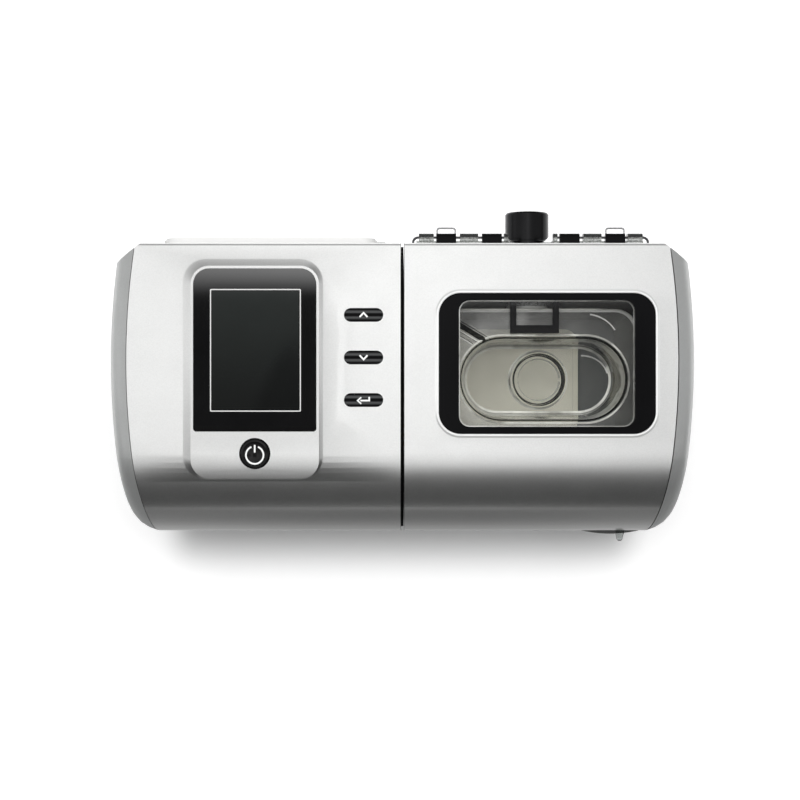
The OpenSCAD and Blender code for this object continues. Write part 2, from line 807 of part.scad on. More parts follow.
module casing_screw(b, z1) {
  color("gray") {
    rod_z(floor_z + 1.4, floor_z + 4, b[0], b[1], 2.9);
    rod_z(floor_z + 3.9, z1, b[0], b[1], screw_r);
  }
}

module rubber_foot(f) {
  color([0.1, 0.1, 0.1]) translate([f[0], f[1], 0]) rotate_extrude()
    polygon([[0, 0], [foot_r - 0.8, 0], [foot_r, 0.8], [foot_r, foot_h + 1], [0, foot_h + 1]]);
}

module blower_screws() {
  for (b = blower_bosses) casing_screw(b, split_z + 12);
}

module blower_feet() {
  for (f = left_feet) rubber_foot(f);
}

// Block round the contacts that join the two units
module dock_block(x0, x1, grow) {
  block(x0, x1, dock_y - 9 - grow, dock_y + 9 + grow, dock_z - 4 - grow, dock_z + 4 + grow);
}

module dock_pin_row(x0, x1, r) {
  for (k = [-1, 0, 1]) rod_x(x0, x1, dock_y + k * dock_pitch, dock_z, r);
}

module dock_plug() {
  color([0.1, 0.1, 0.1]) difference() {
    union() {
      dock_block(-unit_gap / 2 - wall - 6, -unit_gap / 2, 0);
      dock_block(-unit_gap / 2 - wall - 2, -unit_gap / 2 - wall - 0.1, 1);
    }
    dock_pin_row(-20, 5, dock_pin_r);
  }
}

module dock_pins() {
  color("gold") dock_pin_row(-unit_gap / 2 - wall - 8, unit_gap / 2 + 4, dock_pin_r);
}

module dock_socket() {
  color([0.1, 0.1, 0.1]) difference() {
    union() {
      dock_block(unit_gap / 2, unit_gap / 2 + wall + 5, 0);
      dock_block(unit_gap / 2 + wall + 0.1, unit_gap / 2 + wall + 2, 1);
    }
    dock_pin_row(0, unit_gap / 2 + 4.6, dock_pin_r + 0.3);
  }
}

module humidifier_screws() {
  for (b = humidifier_bosses) casing_screw(b, floor_z + 16);
}

module humidifier_feet() {
  for (f = right_feet) rubber_foot(f);
}

// Everything below the sloping joint of the lid
module below_lid(gap) {
  y0 = front_y - 20;
  y1 = rear_y + 20;
  along_x(0, half_w) polygon([
    [y0, -cut], [y1, -cut],
    [y1, lid_rear_z + 20 * lid_slope - gap], [y0, lid_front_z - 20 * lid_slope - gap]
  ]);
}

module humidifier_base() {
  color("silver") difference() {
    union() {
      intersection() {
        difference() {
          unit_form(0);
          unit_form(wall);
        }
        below_lid(lid_gap);
      }
      for (b = humidifier_bosses) rod_z(floor_z - 1, floor_z + 20, b[0], b[1], screw_r + 2.4);
      for (x = [tank_x - 28, tank_x + 28], y = [tank_y - tank_l / 2 + 8, tank_y + tank_l / 2 - 8])
        block(x - 8, x + 8, y - 2, y + 2, floor_z - 1, tray_z);
      along_x(latch_x - latch_w / 2, latch_x + latch_w / 2) polygon([
        [front_y + 1.5, latch_foot_z - 5.5], [front_y + 4.4, latch_foot_z - 2.5],
        [front_y + 4.4, latch_foot_z], [front_y + 2.8, lid_front_z - 1.2],
        [front_y + 1.5, lid_front_z - 1.2]]);
    }
    for (b = humidifier_bosses) {
      rod_z(0, floor_z + 18, b[0], b[1], screw_r + 0.05);
      rod_z(0, floor_z + 4, b[0], b[1], 3.2);
    }
    for (f = right_feet) rod_z(0, foot_h + 1, f[0], f[1], foot_r + 0.05);
    rod_x(0, unit_gap / 2 + wall + cut, port_y, port_z, spigot_r + bellows_t + bellows_fold + 0.7);
    rod_y(rear_y - wall - cut, rear_y + cut, outlet_x, outlet_z, outlet_r + 0.4);
    dock_block(0, unit_gap / 2 + wall + cut, 0.05);
    block(lip_x - lip_w / 2, lip_x + lip_w / 2, front_y - cut, front_y + 1.3, lip_z0, lid_front_z + 5);
  }
}

// Dark liner that the tank stands in
module tank_tray() {
  w = tank_w + 2 * tray_gap;
  l = tank_l + 2 * tray_gap;
  color([0.2, 0.2, 0.22]) difference() {
    slab(tray_z, tray_top) translate([tank_x, tank_y])
      rounded_rect(w + 2 * tray_t, l + 2 * tray_t, tank_r + tray_gap + tray_t);
    slab(tray_z + tray_t, tray_top + cut) translate([tank_x, tank_y]) rounded_rect(w, l, tank_r + tray_gap);
  }
}

module heater_outline(inset) {
  x0 = plate_x0 + inset;
  x1 = plate_x1 - inset;
  translate([(x0 + x1) / 2, tank_y]) rounded_rect(x1 - x0, tank_l - 14 - 2 * inset, 8 - inset);
}

module heater_plate() {
  color("silver") slab(heater_z, heater_z + plate_t) heater_outline(0);
}

module heater_pad() {
  color("orange") slab(tray_z + tray_t, heater_z) heater_outline(2);
}

module tank_outline(inset) {
  translate([tank_x, tank_y]) rounded_rect(tank_w - 2 * inset, tank_l - 2 * inset, tank_r - inset);
}

module water_tank() {
  color([0.8, 0.9, 0.95, 0.4]) difference() {
    slab(tank_z, rim_z) tank_outline(0);
    slab(tank_z + tank_floor_t, rim_z + cut) tank_outline(tank_wall);
    slab(tank_z - cut, tank_z + tank_floor_t + cut) heater_outline(3);
    slab(tank_z - cut, tank_z + plate_t) heater_outline(0);
    rod_x(tank_x - tank_w / 2 - cut, tank_x - tank_w / 2 + 4, port_y, port_z, port_r);
    rod_y(tank_y + tank_l / 2 - 4, tank_y + tank_l / 2 + cut, outlet_x, outlet_z, outlet_bore_r - 1);
  }
}

module tank_plate() {
  color("silver") slab(tank_z, tank_z + plate_t) heater_outline(0.1);
}

module tank_seal() {
  color("lightgray") slab(rim_z, rim_z + seal_t) difference() {
    tank_outline(0);
    tank_outline(tank_wall);
  }
}

// Cone-sided oval, as wide as the well at its top
module well_form(inset, z0) {
  depth = rim_z - well_z;
  share = (rim_z - z0) / depth;
  w = well_w - 2 * inset;
  d = well_d - 2 * inset;
  translate([well_x, well_y, 0]) hull() {
    slab(cover_top + 0.9, cover_top + 1) stadium(w, d, $fn = 48);
    slab(z0, z0 + 0.1) stadium(w - 2 * well_draft * share, d - 2 * well_draft * share, $fn = 48);
  }
}

// Clear cover whose oval well holds the fill opening
module tank_cover() {
  plate_z = rim_z + seal_t;
  color([0.85, 0.93, 0.97, 0.4]) difference() {
    union() {
      slab(plate_z, cover_top) tank_outline(0);
      slab(plate_z - 3, plate_z + 0.5) difference() {
        tank_outline(tank_wall + 0.3);
        tank_outline(tank_wall + 1.8);
      }
      intersection() {
        well_form(-tank_wall, well_z - cover_t);
        slab(0, cover_top) tank_outline(tank_wall + 0.3);
      }
      rod_z(well_z - cover_t, well_z + 7, well_x, well_y, cap_r + 1.6);
      for (s = [-1, 1]) translate([well_x - well_w / 2 + 6, well_y + s * well_d / 2 - s * 4, cover_top - 0.5])
        rotate([0, 0, -s * 33]) translate([-26, -0.8, 0]) cube([24, 1.6, 1.5]);
    }
    intersection() {
      well_form(0, well_z);
      difference() {
        slab(well_z, cover_top + 2) tank_outline(-1);
        rod_z(well_z - cut, well_z + 7, well_x, well_y, cap_r + 1.6);
      }
    }
    rod_z(well_z + 7, cover_top + 2, well_x, well_y, cap_r + 1.7);
    rod_z(well_z - 6, well_z + 8, well_x, well_y, cap_r + 0.1);
  }
}

// Quarter-turn cap with two lugs under the collar
module fill_cap() {
  color([0.85, 0.93, 0.97, 0.4]) {
    translate([well_x, well_y, well_z - cover_t]) rotate_extrude()
      polygon([[0, 0], [cap_r, 0], [cap_r, 2], [cap_r - 0.8, 2], [cap_r - 0.8, 3.2], [cap_r, 3.2],
               [cap_r, 8.6], [cap_r - 0.6, 9.2], [cap_r - 2, 9.2], [cap_r - 2.6, 5], [0, 5]]);
    block(well_x - cap_r + 2, well_x + cap_r - 2, well_y - 0.9, well_y + 0.9, well_z + 2, well_z + 6.4);
  }
}

module cap_seal() {
  color("lightgray") translate([well_x, well_y, well_z - cover_t]) rotate_extrude()
    translate([cap_r - 0.72, 2.05]) square([0.65, 1.1]);
}

// Black clip at the rear of the tank cover
module tank_clip() {
  x0 = well_x - 16.8;
  x1 = x0 + 24.2;
  y0 = tank_y + tank_l / 2 - 12.6;
  color([0.08, 0.08, 0.08]) {
    block(x0, x1, y0, y0 + 4, cover_top, cover_top + 3);
    block(x0, x0 + 3, y0 + 3.9, tank_y + tank_l / 2 + 3, cover_top, cover_top + 3);
    block(x1 - 3, x1, y0 + 3.9, tank_y + tank_l / 2 + 3, cover_top, cover_top + 3);
  }
}

module knuckle(x, w, r) {
  rod_x(x - w / 2, x + w / 2, hinge_y, hinge_z, r);
}

// Places of the clear knuckles from the outlet, and their widths
end_knuckle_w = knuckle_w * 0.75;
neck_half = outlet_r + 0.2;
neck_knuckle_w = 2;
clear_knuckle_w = knuckle_w - 0.8;
clear_places = [
  [-4.57 * knuckle_pitch, end_knuckle_w], [-2.7 * knuckle_pitch, clear_knuckle_w],
  [-neck_half - neck_knuckle_w / 2, neck_knuckle_w], [neck_half + neck_knuckle_w / 2, neck_knuckle_w],
  [2.7 * knuckle_pitch, clear_knuckle_w], [4.57 * knuckle_pitch, end_knuckle_w]
];
black_places = [-3.7, -1.7, 1.7, 3.7];

// Clear moulding on the rear wall: half of the hinge and the outlet's neck
module hinge_rail() {
  rail_z = lid_rear_z - lid_gap - 0.3;
  neck_y0 = tank_y + tank_l / 2 + 1.3;
  color([0.85, 0.93, 0.97, 0.4]) difference() {
    union() {
      for (k = clear_places) {
        x = outlet_x + k[0];
        knuckle(x, k[1], knuckle_r);
        block(x - k[1] / 2, x + k[1] / 2, rear_y + 1, hinge_y + knuckle_r, hinge_z - 3.4, hinge_z);
      }
      for (s = [-1, 1]) {
        inner = outlet_x + s * neck_half;
        outer = outlet_x + s * 5 * knuckle_pitch;
        block(min(inner, outer), max(inner, outer), rear_y, rear_y + 2.2, hinge_z - 6.4, hinge_z - 3.3);
      }
      along_y(rear_y, rear_y + 2.6) translate([outlet_x, outlet_z + 3])
        rounded_rect(2 * (neck_half + neck_knuckle_w), 30.6, 6);
      rod_y(neck_y0, rear_y + 14, outlet_x, outlet_z, outlet_bore_r - 0.1);
      rod_y(neck_y0, neck_y0 + 2, outlet_x, outlet_z, outlet_bore_r + 2);
    }
    rod_x(0, half_w, hinge_y, hinge_z, pin_r + pin_fit);
    rod_y(neck_y0 - cut, rear_y + 15, outlet_x, outlet_z, outlet_bore_r - 1.5);
    block(outlet_x - neck_half, outlet_x + neck_half, rear_y + 0.8, hinge_y + 4,
          outlet_z + outlet_bore_r, hinge_z + 4);
    difference() {
      rod_y(rear_y + 0.8, rear_y + 4, outlet_x, outlet_z, outlet_r + 0.5);
      rod_y(rear_y, rear_y + 5, outlet_x, outlet_z, outlet_bore_r - 0.1);
    }
  }
}

module outlet_seal() {
  color("dimgray") difference() {
    rod_y(tank_y + tank_l / 2, tank_y + tank_l / 2 + 1.3, outlet_x, outlet_z, outlet_bore_r + 1.5);
    rod_y(tank_y + tank_l / 2 - cut, tank_y + tank_l / 2 + 3, outlet_x, outlet_z, outlet_bore_r - 1);
  }
}

// Round outlet that the hose pushes on; its root is trimmed to a curve in plan
module outlet_tube() {
  color([0.05, 0.05, 0.05]) difference() {
    translate([outlet_x, rear_y + 0.8, outlet_z]) rotate([-90, 0, 0]) rotate_extrude()
      polygon([[outlet_bore_r, 0], [outlet_r + 0.3, 0], [outlet_r + 0.3, 2.6], [outlet_r, 3],
               [outlet_r, outlet_out - 1.6], [outlet_r - 0.5, outlet_out - 0.8],
               [outlet_bore_r + 0.4, outlet_out - 0.8], [outlet_bore_r, outlet_out - 1.4]]);
    difference() {
      block(outlet_x - 20, outlet_x + 20, rear_y - 1, rear_y + 8, outlet_z - 20, outlet_z + 20);
      rod_z(outlet_z - 21, outlet_z + 21, outlet_x, rear_y + 15.4, 14.4);
    }
  }
}

// Two hinge wires, one on each side of the outlet, bent over at their outer ends
module hinge_pin() {
  bend = 2.4;
  straight = 4.57 * knuckle_pitch + end_knuckle_w / 2 + 0.4;
  color("dimgray") for (s = [-1, 1]) translate([outlet_x, hinge_y, hinge_z]) {
    rod_x(s > 0 ? neck_half + 0.1 : -straight, s > 0 ? straight : -neck_half - 0.1, 0, 0, pin_r);
    translate([s * straight, -bend, 0]) rotate([0, 0, s > 0 ? 0 : 90])
      rotate_extrude(angle = 90) translate([bend, 0]) circle(pin_r);
    rod_y(0.4 - hinge_out, -bend, s * (straight + bend), 0, pin_r);
  }
}

// Wire loops on the two outer black knuckles
module wire_loops() {
  reach = 4.6;
  half = knuckle_w / 2 - wire_r;
  bend = 1.2;
  color("silver") for (k = [-3.7, 3.7]) translate([outlet_x + k * knuckle_pitch, hinge_y, hinge_z]) {
    for (s = [-1, 1]) {
      rod_y(knuckle_r + 0.02, reach - bend, s * half, 0, wire_r);
      translate([s * (half - bend), reach - bend, 0]) rotate([0, 0, s > 0 ? 0 : 90])
        rotate_extrude(angle = 90) translate([bend, 0]) circle(wire_r);
    }
    rod_x(-half + bend, half - bend, reach, 0, wire_r);
  }
}

module window_outline(w, l, r) {
  translate([window_x, window_y]) rounded_rect(w, l, r);
}

// Trims the lid's outer border to a smaller radius between two heights
module lid_trim(z0, z1, inset) {
  slab(z0, z1) translate([side_cx, side_cy]) difference() {
    circle(border_r + 5, $fn = 360);
    circle(border_r - seam / 2 - inset, $fn = 360);
  }
}

module lid_shell() {
  color("whitesmoke") difference() {
    union() {
      difference() {
        unit_form(0);
        unit_form(wall);
        below_lid(0);
        lid_trim(0, body_h + cut, lid_seam - seam);
        intersection() {
          lid_trim(0, body_h, 1.5);
          along_x(0, half_w) section(1);
        }
      }
      for (p = frame_posts) rod_z(frame_z + 0.1, inner_top + 0.5, p[0], p[1], 3);
      intersection() {
        unit_form(wall / 2);
        for (s = [-1, 1]) {
          mid = latch_x + s * (latch_w / 2 + 1.3);
          block(mid - 1, mid + 1, front_y, latch_pivot_y + 3, latch_pivot_z - 3, latch_pivot_z + 6);
        }
      }
      slab(body_h - 1, body_h + bead_h) difference() {
        window_outline(bezel_w + 2 * bead_w, bezel_l + 2 * bead_w, bezel_r + bead_w);
        window_outline(bezel_w, bezel_l, bezel_r);
      }
    }
    slab(inner_top - cut, body_h + 2) window_outline(bezel_w, bezel_l, bezel_r);
    block(outlet_x - 5.3 * knuckle_pitch, outlet_x + 5.3 * knuckle_pitch, rear_y - wall - cut, rear_y + cut,
          0, hinge_z + knuckle_r + 1);
    block(latch_x - latch_w / 2 - 0.3, latch_x + latch_w / 2 + 0.3, front_y - cut, front_y + wall + 1.4,
          0, latch_pivot_z + 1.4);
    for (p = frame_posts) rod_z(frame_z - cut, inner_top + 1.2, p[0], p[1], 1.05);
    rod_x(latch_x - 12, latch_x + 12, latch_pivot_y, latch_pivot_z, latch_pin_r);
  }
}

// Black frame: the visible bezel, the plate under the lid and the arms to the hinge
module lid_frame() {
  arm_z = hinge_z + knuckle_r;
  color([0.04, 0.04, 0.04]) difference() {
    union() {
      slab(inner_top - 0.1, body_h - bezel_proud)
        window_outline(bezel_w - 2 * frame_gap, bezel_l - 2 * frame_gap, bezel_r - frame_gap);
      block(frame_x0, frame_x1, frame_y0, frame_y1, frame_z, inner_top);
      for (k = black_places) {
        x = outlet_x + k * knuckle_pitch;
        block(x - knuckle_w / 2, x + knuckle_w / 2, frame_y1 - 4, frame_y1, hinge_z - knuckle_r, inner_top);
        block(x - knuckle_w / 2, x + knuckle_w / 2, frame_y1 - 1, hinge_y, hinge_z - knuckle_r, arm_z);
        knuckle(x, knuckle_w, knuckle_r);
      }
    }
    slab(frame_z - 10, body_h + cut) window_outline(pane_w, pane_l, 5.4);
    slab(frame_z - cut, inner_top - 0.1)
      window_outline(pane_w + 2 * pane_lip, pane_l + 2 * pane_lip, 5.4 + pane_lip);
    rod_x(0, half_w, hinge_y, hinge_z, pin_r + pin_fit);
    for (p = frame_posts) rod_z(frame_z - cut, inner_top + cut, p[0], p[1], 3.15);
  }
}

module window_pane() {
  color([0.9, 0.95, 1, 0.3])
    slab(inner_top - 0.2 - pane_t, inner_top - 0.2)
      window_outline(pane_w + 2 * pane_lip - 0.3, pane_l + 2 * pane_lip - 0.3, 5.3 + pane_lip);
}

module lid_screws() {
  color("gray") for (p = frame_posts) {
    rod_z(frame_z - 1.6, frame_z, p[0], p[1], 4);
    rod_z(frame_z - 0.1, inner_top + 1.1, p[0], p[1], 1);
  }
}

// Lever on a cross pin: a tab through the lid's front and a foot behind the wall
module lid_latch() {
  tip_y = front_y - latch_out + 1.2;
  tip_z = latch_pivot_z - 4;
  tip_r = latch_w * 0.36;
  round_y = front_y - latch_out + tip_r;
  color([0.85, 0.93, 0.97, 0.4]) difference() {
    intersection() {
      along_x(latch_x - latch_w / 2, latch_x + latch_w / 2) {
        translate([latch_pivot_y, latch_pivot_z]) circle(2.4);
        translate([tip_y, tip_z]) circle(1.2);
        polygon([[latch_pivot_y, latch_pivot_z + 1], [tip_y, tip_z + 1.2], [tip_y, tip_z - 1.2],
                 [latch_pivot_y, latch_pivot_z - 2.4]]);
        polygon([[latch_pivot_y - 0.6, latch_pivot_z], [latch_pivot_y - 0.6, latch_foot_z + 0.6],
                 [latch_pivot_y + 0.2, latch_foot_z], [latch_pivot_y + 1.6, latch_foot_z],
                 [latch_pivot_y + 2.2, latch_pivot_z]]);
      }
      slab(0, body_h) translate([latch_x, 0]) {
        translate([0, round_y]) circle(tip_r);
        polygon([[-latch_w / 2, latch_pivot_y + 5], [-latch_w / 2, front_y - 1], [-tip_r, round_y],
                 [tip_r, round_y], [latch_w / 2, front_y - 1], [latch_w / 2, latch_pivot_y + 5]]);
      }
    }
    rod_x(latch_x - 12, latch_x + 12, latch_pivot_y, latch_pivot_z, latch_pin_r + latch_fit);
  }
}

module latch_pin() {
  color("silver")
    rod_x(latch_x - latch_w / 2 - 2.3, latch_x + latch_w / 2 + 2.3,
          latch_pivot_y, latch_pivot_z, latch_pin_r);
}

// Dark lip whose front bows out below the lid's edge
module finger_lip() {
  half = lip_w / 2 - 0.1;
  rise = lip_out - 0.8;
  bow_r = (half * half + rise * rise) / (2 * rise);
  color([0.2, 0.2, 0.22]) intersection() {
    block(lip_x - half, lip_x + half, front_y - 5, front_y + 1.2, lip_z0 + 0.1, lid_front_z - lid_gap);
    rod_z(0, body_h, lip_x, front_y - lip_out + bow_r, bow_r, $fn = 360);
  }
}

blower_cover();
blower_base();
left_end_panel();
display_glass();
lcd_module();
power_button();
key_up();
key_down();
key_enter();
keypad_membrane();
control_board();
board_screws();
fan_housing();
fan_housing_cover();
fan_wheel();
fan_motor();
motor_shaft();
rubber_mounts();
mount_screws();
port_bellows();
silencer_foam();
air_filter();
filter_cover();
filter_latch();
power_socket();
blower_screws();
blower_feet();
dock_plug();
dock_pins();
dock_socket();
humidifier_base();
humidifier_screws();
humidifier_feet();
right_end_panel();
tank_tray();
heater_plate();
heater_pad();
water_tank();
tank_plate();
tank_seal();
tank_cover();
fill_cap();
cap_seal();
tank_clip();
hinge_rail();
outlet_seal();
outlet_tube();
hinge_pin();
wire_loops();
lid_shell();
lid_frame();
window_pane();
lid_screws();
lid_latch();
latch_pin();
finger_lip();
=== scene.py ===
"""Looks of the docked breathing machine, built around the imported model.

Lengths are metres, apart from the tables whose comments say mm. The object stands on z = 0 with its front
at -Y. Angles in tables are degrees.
"""
import math

import bmesh
import bpy
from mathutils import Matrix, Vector
from mathutils.bvhtree import BVHTree


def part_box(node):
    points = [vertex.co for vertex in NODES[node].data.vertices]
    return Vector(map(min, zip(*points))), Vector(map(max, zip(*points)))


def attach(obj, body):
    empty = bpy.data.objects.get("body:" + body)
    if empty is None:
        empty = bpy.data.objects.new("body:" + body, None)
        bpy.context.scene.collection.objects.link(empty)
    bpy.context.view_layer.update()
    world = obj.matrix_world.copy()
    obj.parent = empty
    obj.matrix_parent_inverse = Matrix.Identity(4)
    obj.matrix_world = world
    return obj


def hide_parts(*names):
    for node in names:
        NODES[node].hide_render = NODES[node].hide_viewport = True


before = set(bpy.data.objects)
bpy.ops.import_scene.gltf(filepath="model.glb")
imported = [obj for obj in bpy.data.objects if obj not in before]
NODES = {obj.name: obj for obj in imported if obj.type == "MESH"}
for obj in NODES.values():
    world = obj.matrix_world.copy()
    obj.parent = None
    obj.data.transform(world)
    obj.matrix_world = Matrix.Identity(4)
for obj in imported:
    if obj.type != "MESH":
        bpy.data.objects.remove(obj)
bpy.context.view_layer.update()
MM = 0.001
CASING_TOP = 111.0 * MM
# a ray from this far off starts outside the part
FAR_OFF = 0.2
WELD_REACH = 2e-6
CREASE, BEAD_CREASE = 30.0, 45.0
ROUND_STEPS, HALF_ROUND_STEPS = 64, 28
WHITE, GREY_FILL = (1.0, 1.0, 1.0), (0.32, 0.32, 0.32)


# Meshes

def box_centre(node):
    low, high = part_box(node)
    return (low.x + high.x) / 2, (low.y + high.y) / 2


def add_object(name, mesh, body=None):
    obj = bpy.data.objects.new(name, mesh)
    bpy.context.scene.collection.objects.link(obj)
    if body:
        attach(obj, body)
    return obj


def mesh_object(name, verts, faces, material, body=None, slot=None, smooth=False):
    mesh = bpy.data.meshes.new(name)
    mesh.from_pydata([tuple(v) for v in verts], [], faces)
    mesh.validate()
    mesh.update()
    mesh.materials.append(material)
    if smooth:
        for polygon in mesh.polygons:
            polygon.use_smooth = True
    return add_object(name, mesh, body)


def tube_of(loops):
    """Vertices and quads of a closed tube whose section runs through loops of equal length."""
    count = len(loops[0])
    verts = [point for loop in loops for point in loop]
    faces = []
    for k in range(len(loops)):
        low, high = k * count, ((k + 1) % len(loops)) * count
        for i in range(count):
            n = (i + 1) % count
            faces.append((low + i, low + n, high + n, high + i))
    return verts, faces


def split_creases(obj, degrees):
    obj.modifiers.new("creases", "EDGE_SPLIT").split_angle = math.radians(degrees)


def arc(cx, cy, r, start, end, count):
    return [(cx + r * math.cos(math.radians(start + (end - start) * i / count)),
             cy + r * math.sin(math.radians(start + (end - start) * i / count))) for i in range(count + 1)]


def rounded(cx, cy, w, d, r, count):
    """Rectangle of w by d with corners of radius r."""
    out = []
    for qx, qy, a in ((1, 1, 0), (-1, 1, 90), (-1, -1, 180), (1, -1, 270)):
        out += arc(cx + qx * (w / 2 - r), cy + qy * (d / 2 - r), r, a, a + 90, count)
    return out


def stadium(cx, cy, w, d):
    r = d / 2
    half = w / 2 - r
    return arc(cx + half, cy, r, -90, 90, HALF_ROUND_STEPS) + arc(cx - half, cy, r, 90, 270, HALF_ROUND_STEPS)


def surface_of(*nodes):
    """Search tree over the faces of one or more nodes."""
    verts, faces = [], []
    for node in nodes:
        mesh = NODES[node].data
        start = len(verts)
        verts += [v.co.copy() for v in mesh.vertices]
        faces += [tuple(start + i for i in p.vertices) for p in mesh.polygons]
    return BVHTree.FromPolygons(verts, faces)


# Materials

class Shader:
    """A node tree under construction. owner: the name of a new material, or a world."""

    def __init__(self, owner):
        kind = "World" if isinstance(owner, bpy.types.World) else "Material"
        self.owner = bpy.data.materials.new(owner) if kind == "Material" else owner
        self.owner.use_nodes = True
        self.tree = self.owner.node_tree
        self.tree.nodes.clear()
        self.out = self.tree.nodes.new("ShaderNodeOutput" + kind)
        self.coords = None

    def node(self, kind, **values):
        """values: properties, as p_name, and sockets, with _ for a space."""
        n = self.tree.nodes.new("ShaderNode" + kind)
        for key, value in values.items():
            if key.startswith("p_"):
                setattr(n, key[2:], value)
            else:
                self.put(n.inputs[key.replace("_", " ")], value)
        return n

    def put(self, socket, value):
        if isinstance(value, bpy.types.NodeSocket):
            self.tree.links.new(value, socket)
        elif isinstance(value, (tuple, list)) and socket.type == "RGBA" and len(value) == 3:
            socket.default_value = (*value, 1.0)
        else:
            socket.default_value = value

    def object_coords(self):
        if self.coords is None:
            self.coords = self.node("TexCoord").outputs["Object"]
        return self.coords

    def noise(self, scale, detail=2.0, roughness=0.5, stretch=None):
        vector = self.object_coords()
        if stretch:
            vector = self.node("Mapping", Vector=vector, Scale=stretch).outputs["Vector"]
        n = self.node("TexNoise", Vector=vector, Scale=scale, Detail=detail, Roughness=roughness)
        return n.outputs["Fac"]

    def cells(self, scale):
        """A value from 0 to 1 for each cell of a random pattern."""
        colour = self.node("TexVoronoi", Vector=self.object_coords(), Scale=scale).outputs["Color"]
        return self.node("SeparateColor", Color=colour).outputs[0]

    def ramp(self, value, low, high, to_low=0.0, to_high=1.0, smooth=False):
        n = self.node("MapRange", Value=value)
        n.inputs["From Min"].default_value = low
        n.inputs["From Max"].default_value = high
        n.inputs["To Min"].default_value = to_low
        n.inputs["To Max"].default_value = to_high
        if smooth:
            n.interpolation_type = "SMOOTHSTEP"
        return n.outputs["Result"]

    def math(self, operation, a, b=None):
        n = self.node("Math", p_operation=operation)
        self.put(n.inputs[0], a)
        if b is not None:
            self.put(n.inputs[1], b)
        return n.outputs[0]

    def mix(self, factor, a, b):
        # 6, 7 and 2 are the node's colour sockets
        n = self.node("Mix", p_data_type="RGBA")
        self.put(n.inputs[0], factor)
        self.put(n.inputs[6], a)
        self.put(n.inputs[7], b)
        return n.outputs[2]

    def axis(self, letter):
        return self.node("SeparateXYZ", Vector=self.object_coords()).outputs[letter]

    def bump(self, layers):
        """layers: (height, distance) pairs, coarse first."""
        normal = None
        for height, distance in layers:
            n = self.node("Bump", Height=height, Distance=distance, Strength=1.0)
            if normal is not None:
                self.put(n.inputs["Normal"], normal)
            normal = n.outputs["Normal"]
        return normal

    def polished(self, wave):
        """Normal of a clear moulding: slow waves of that depth and a fine peel."""
        return self.bump([(self.noise(160.0, 2.0, 0.5), wave), (self.noise(1500.0, 2.0, 0.5), 8e-7)])

    def facing(self, normal):
        """From 0 where a surface is seen face on to 1 where it is seen edge on."""
        return self.node("LayerWeight", Blend=0.5, Normal=normal).outputs["Facing"]

    def mottled(self, base, patch, fine, vary, dark, flakes, flake_scale):
        """Base colour with slow clouds, the fine grain and a share of flakes in it."""
        shade = self.mix(self.ramp(self.noise(patch, 4.0, 0.6), 0.3, 0.7), faded(base, 1 - vary), base)
        shade = self.mix(self.ramp(fine, 0.25, 0.75, 0.0, vary), shade, faded(base, dark))
        if flakes:
            spots = self.ramp(self.cells(flake_scale), 0.0, 1.0, 0.0, flakes)
            shade = self.mix(spots, shade, faded(base, FLAKE_SHADE))
        return shade

    def blend(self, factor, first, second):
        n = self.node("MixShader", Fac=factor)
        self.put(n.inputs[1], first)
        self.put(n.inputs[2], second)
        return n.outputs[0]

    def see_through(self, tint, skin, share, ripple, reflect, rough=0.03):
        """Tinted clear plastic with a share of milky skin in it and a glossy face on top."""
        body = self.blend(share, self.node("BsdfTransparent", Color=tint).outputs[0],
                          self.node("BsdfDiffuse", Color=skin).outputs[0])
        gloss = self.node("BsdfGlossy", Color=WHITE, Roughness=rough, Normal=ripple)
        fresnel = self.node("Fresnel", Normal=ripple)
        fresnel.inputs["IOR"].default_value = reflect
        return self.finish(self.blend(fresnel.outputs[0], body, gloss.outputs[0]))

    def principled(self, base, rough, layers, spec=0.5, coat=0.0, coat_rough=0.03, **values):
        p = self.node("BsdfPrincipled", Base_Color=base, Roughness=rough, **values)
        if layers:
            self.put(p.inputs["Normal"], self.bump(layers))
        p.inputs["Specular IOR Level"].default_value = spec
        p.inputs["Coat Weight"].default_value = coat
        p.inputs["Coat Roughness"].default_value = coat_rough
        return p

    def finish(self, surface):
        self.put(self.out.inputs["Surface"], surface)
        return self.owner


FLAKE_SHADE = 0.55


def faded(colour, share):
    return tuple(c * share for c in colour)


def plastic(name, base, rough=0.45, metallic=0.0, vary=0.06, patch=60.0, grain=1800.0, grain_depth=4e-6,
            wave=0.0, wave_scale=220.0, coat=0.0, coat_rough=0.03, spec=0.5, rough_vary=0.08, flakes=0.0,
            flake_scale=5200.0, dark=0.8, stretch=None, sheen=0.0):
    """A moulded, painted or metal surface with mottling, grain and uneven gloss."""
    s = Shader(name)
    fine = s.noise(grain, 3.0, 0.55, stretch)
    shade = s.mottled(base, patch, fine, vary, dark, flakes, flake_scale)
    gloss = s.ramp(s.noise(patch * 2.3, 3.0, 0.6), 0.3, 0.7, max(0.02, rough * (1 - rough_vary)),
                   min(1.0, rough * (1 + rough_vary)))
    layers = []
    if wave:
        layers.append((s.noise(wave_scale, 1.0, 0.4), wave))
    if grain_depth:
        layers.append((fine, grain_depth))
    p = s.principled(shade, gloss, layers, spec, coat, coat_rough, Metallic=metallic)
    if sheen:
        p.inputs["Sheen Weight"].default_value = sheen
        p.inputs["Sheen Roughness"].default_value = 0.5
    return s.finish(p.outputs["BSDF"])


CLEAR_MILK = (0.80, 0.80, 0.74)


def clear(name, tint, edge, milk=0.0, power=2.0, wave=2e-5, reflect=1.2):
    """Clear moulding: see-through face on, lit along its rounded edges, dark where it is seen edge on."""
    s = Shader(name)
    ripple = s.polished(wave)
    facing = s.facing(ripple)
    lit = s.math("MULTIPLY", s.ramp(facing, 0.3, 0.8, smooth=True), milk)
    return s.see_through(s.mix(s.math("POWER", facing, power), tint, edge), CLEAR_MILK, lit, ripple, reflect)


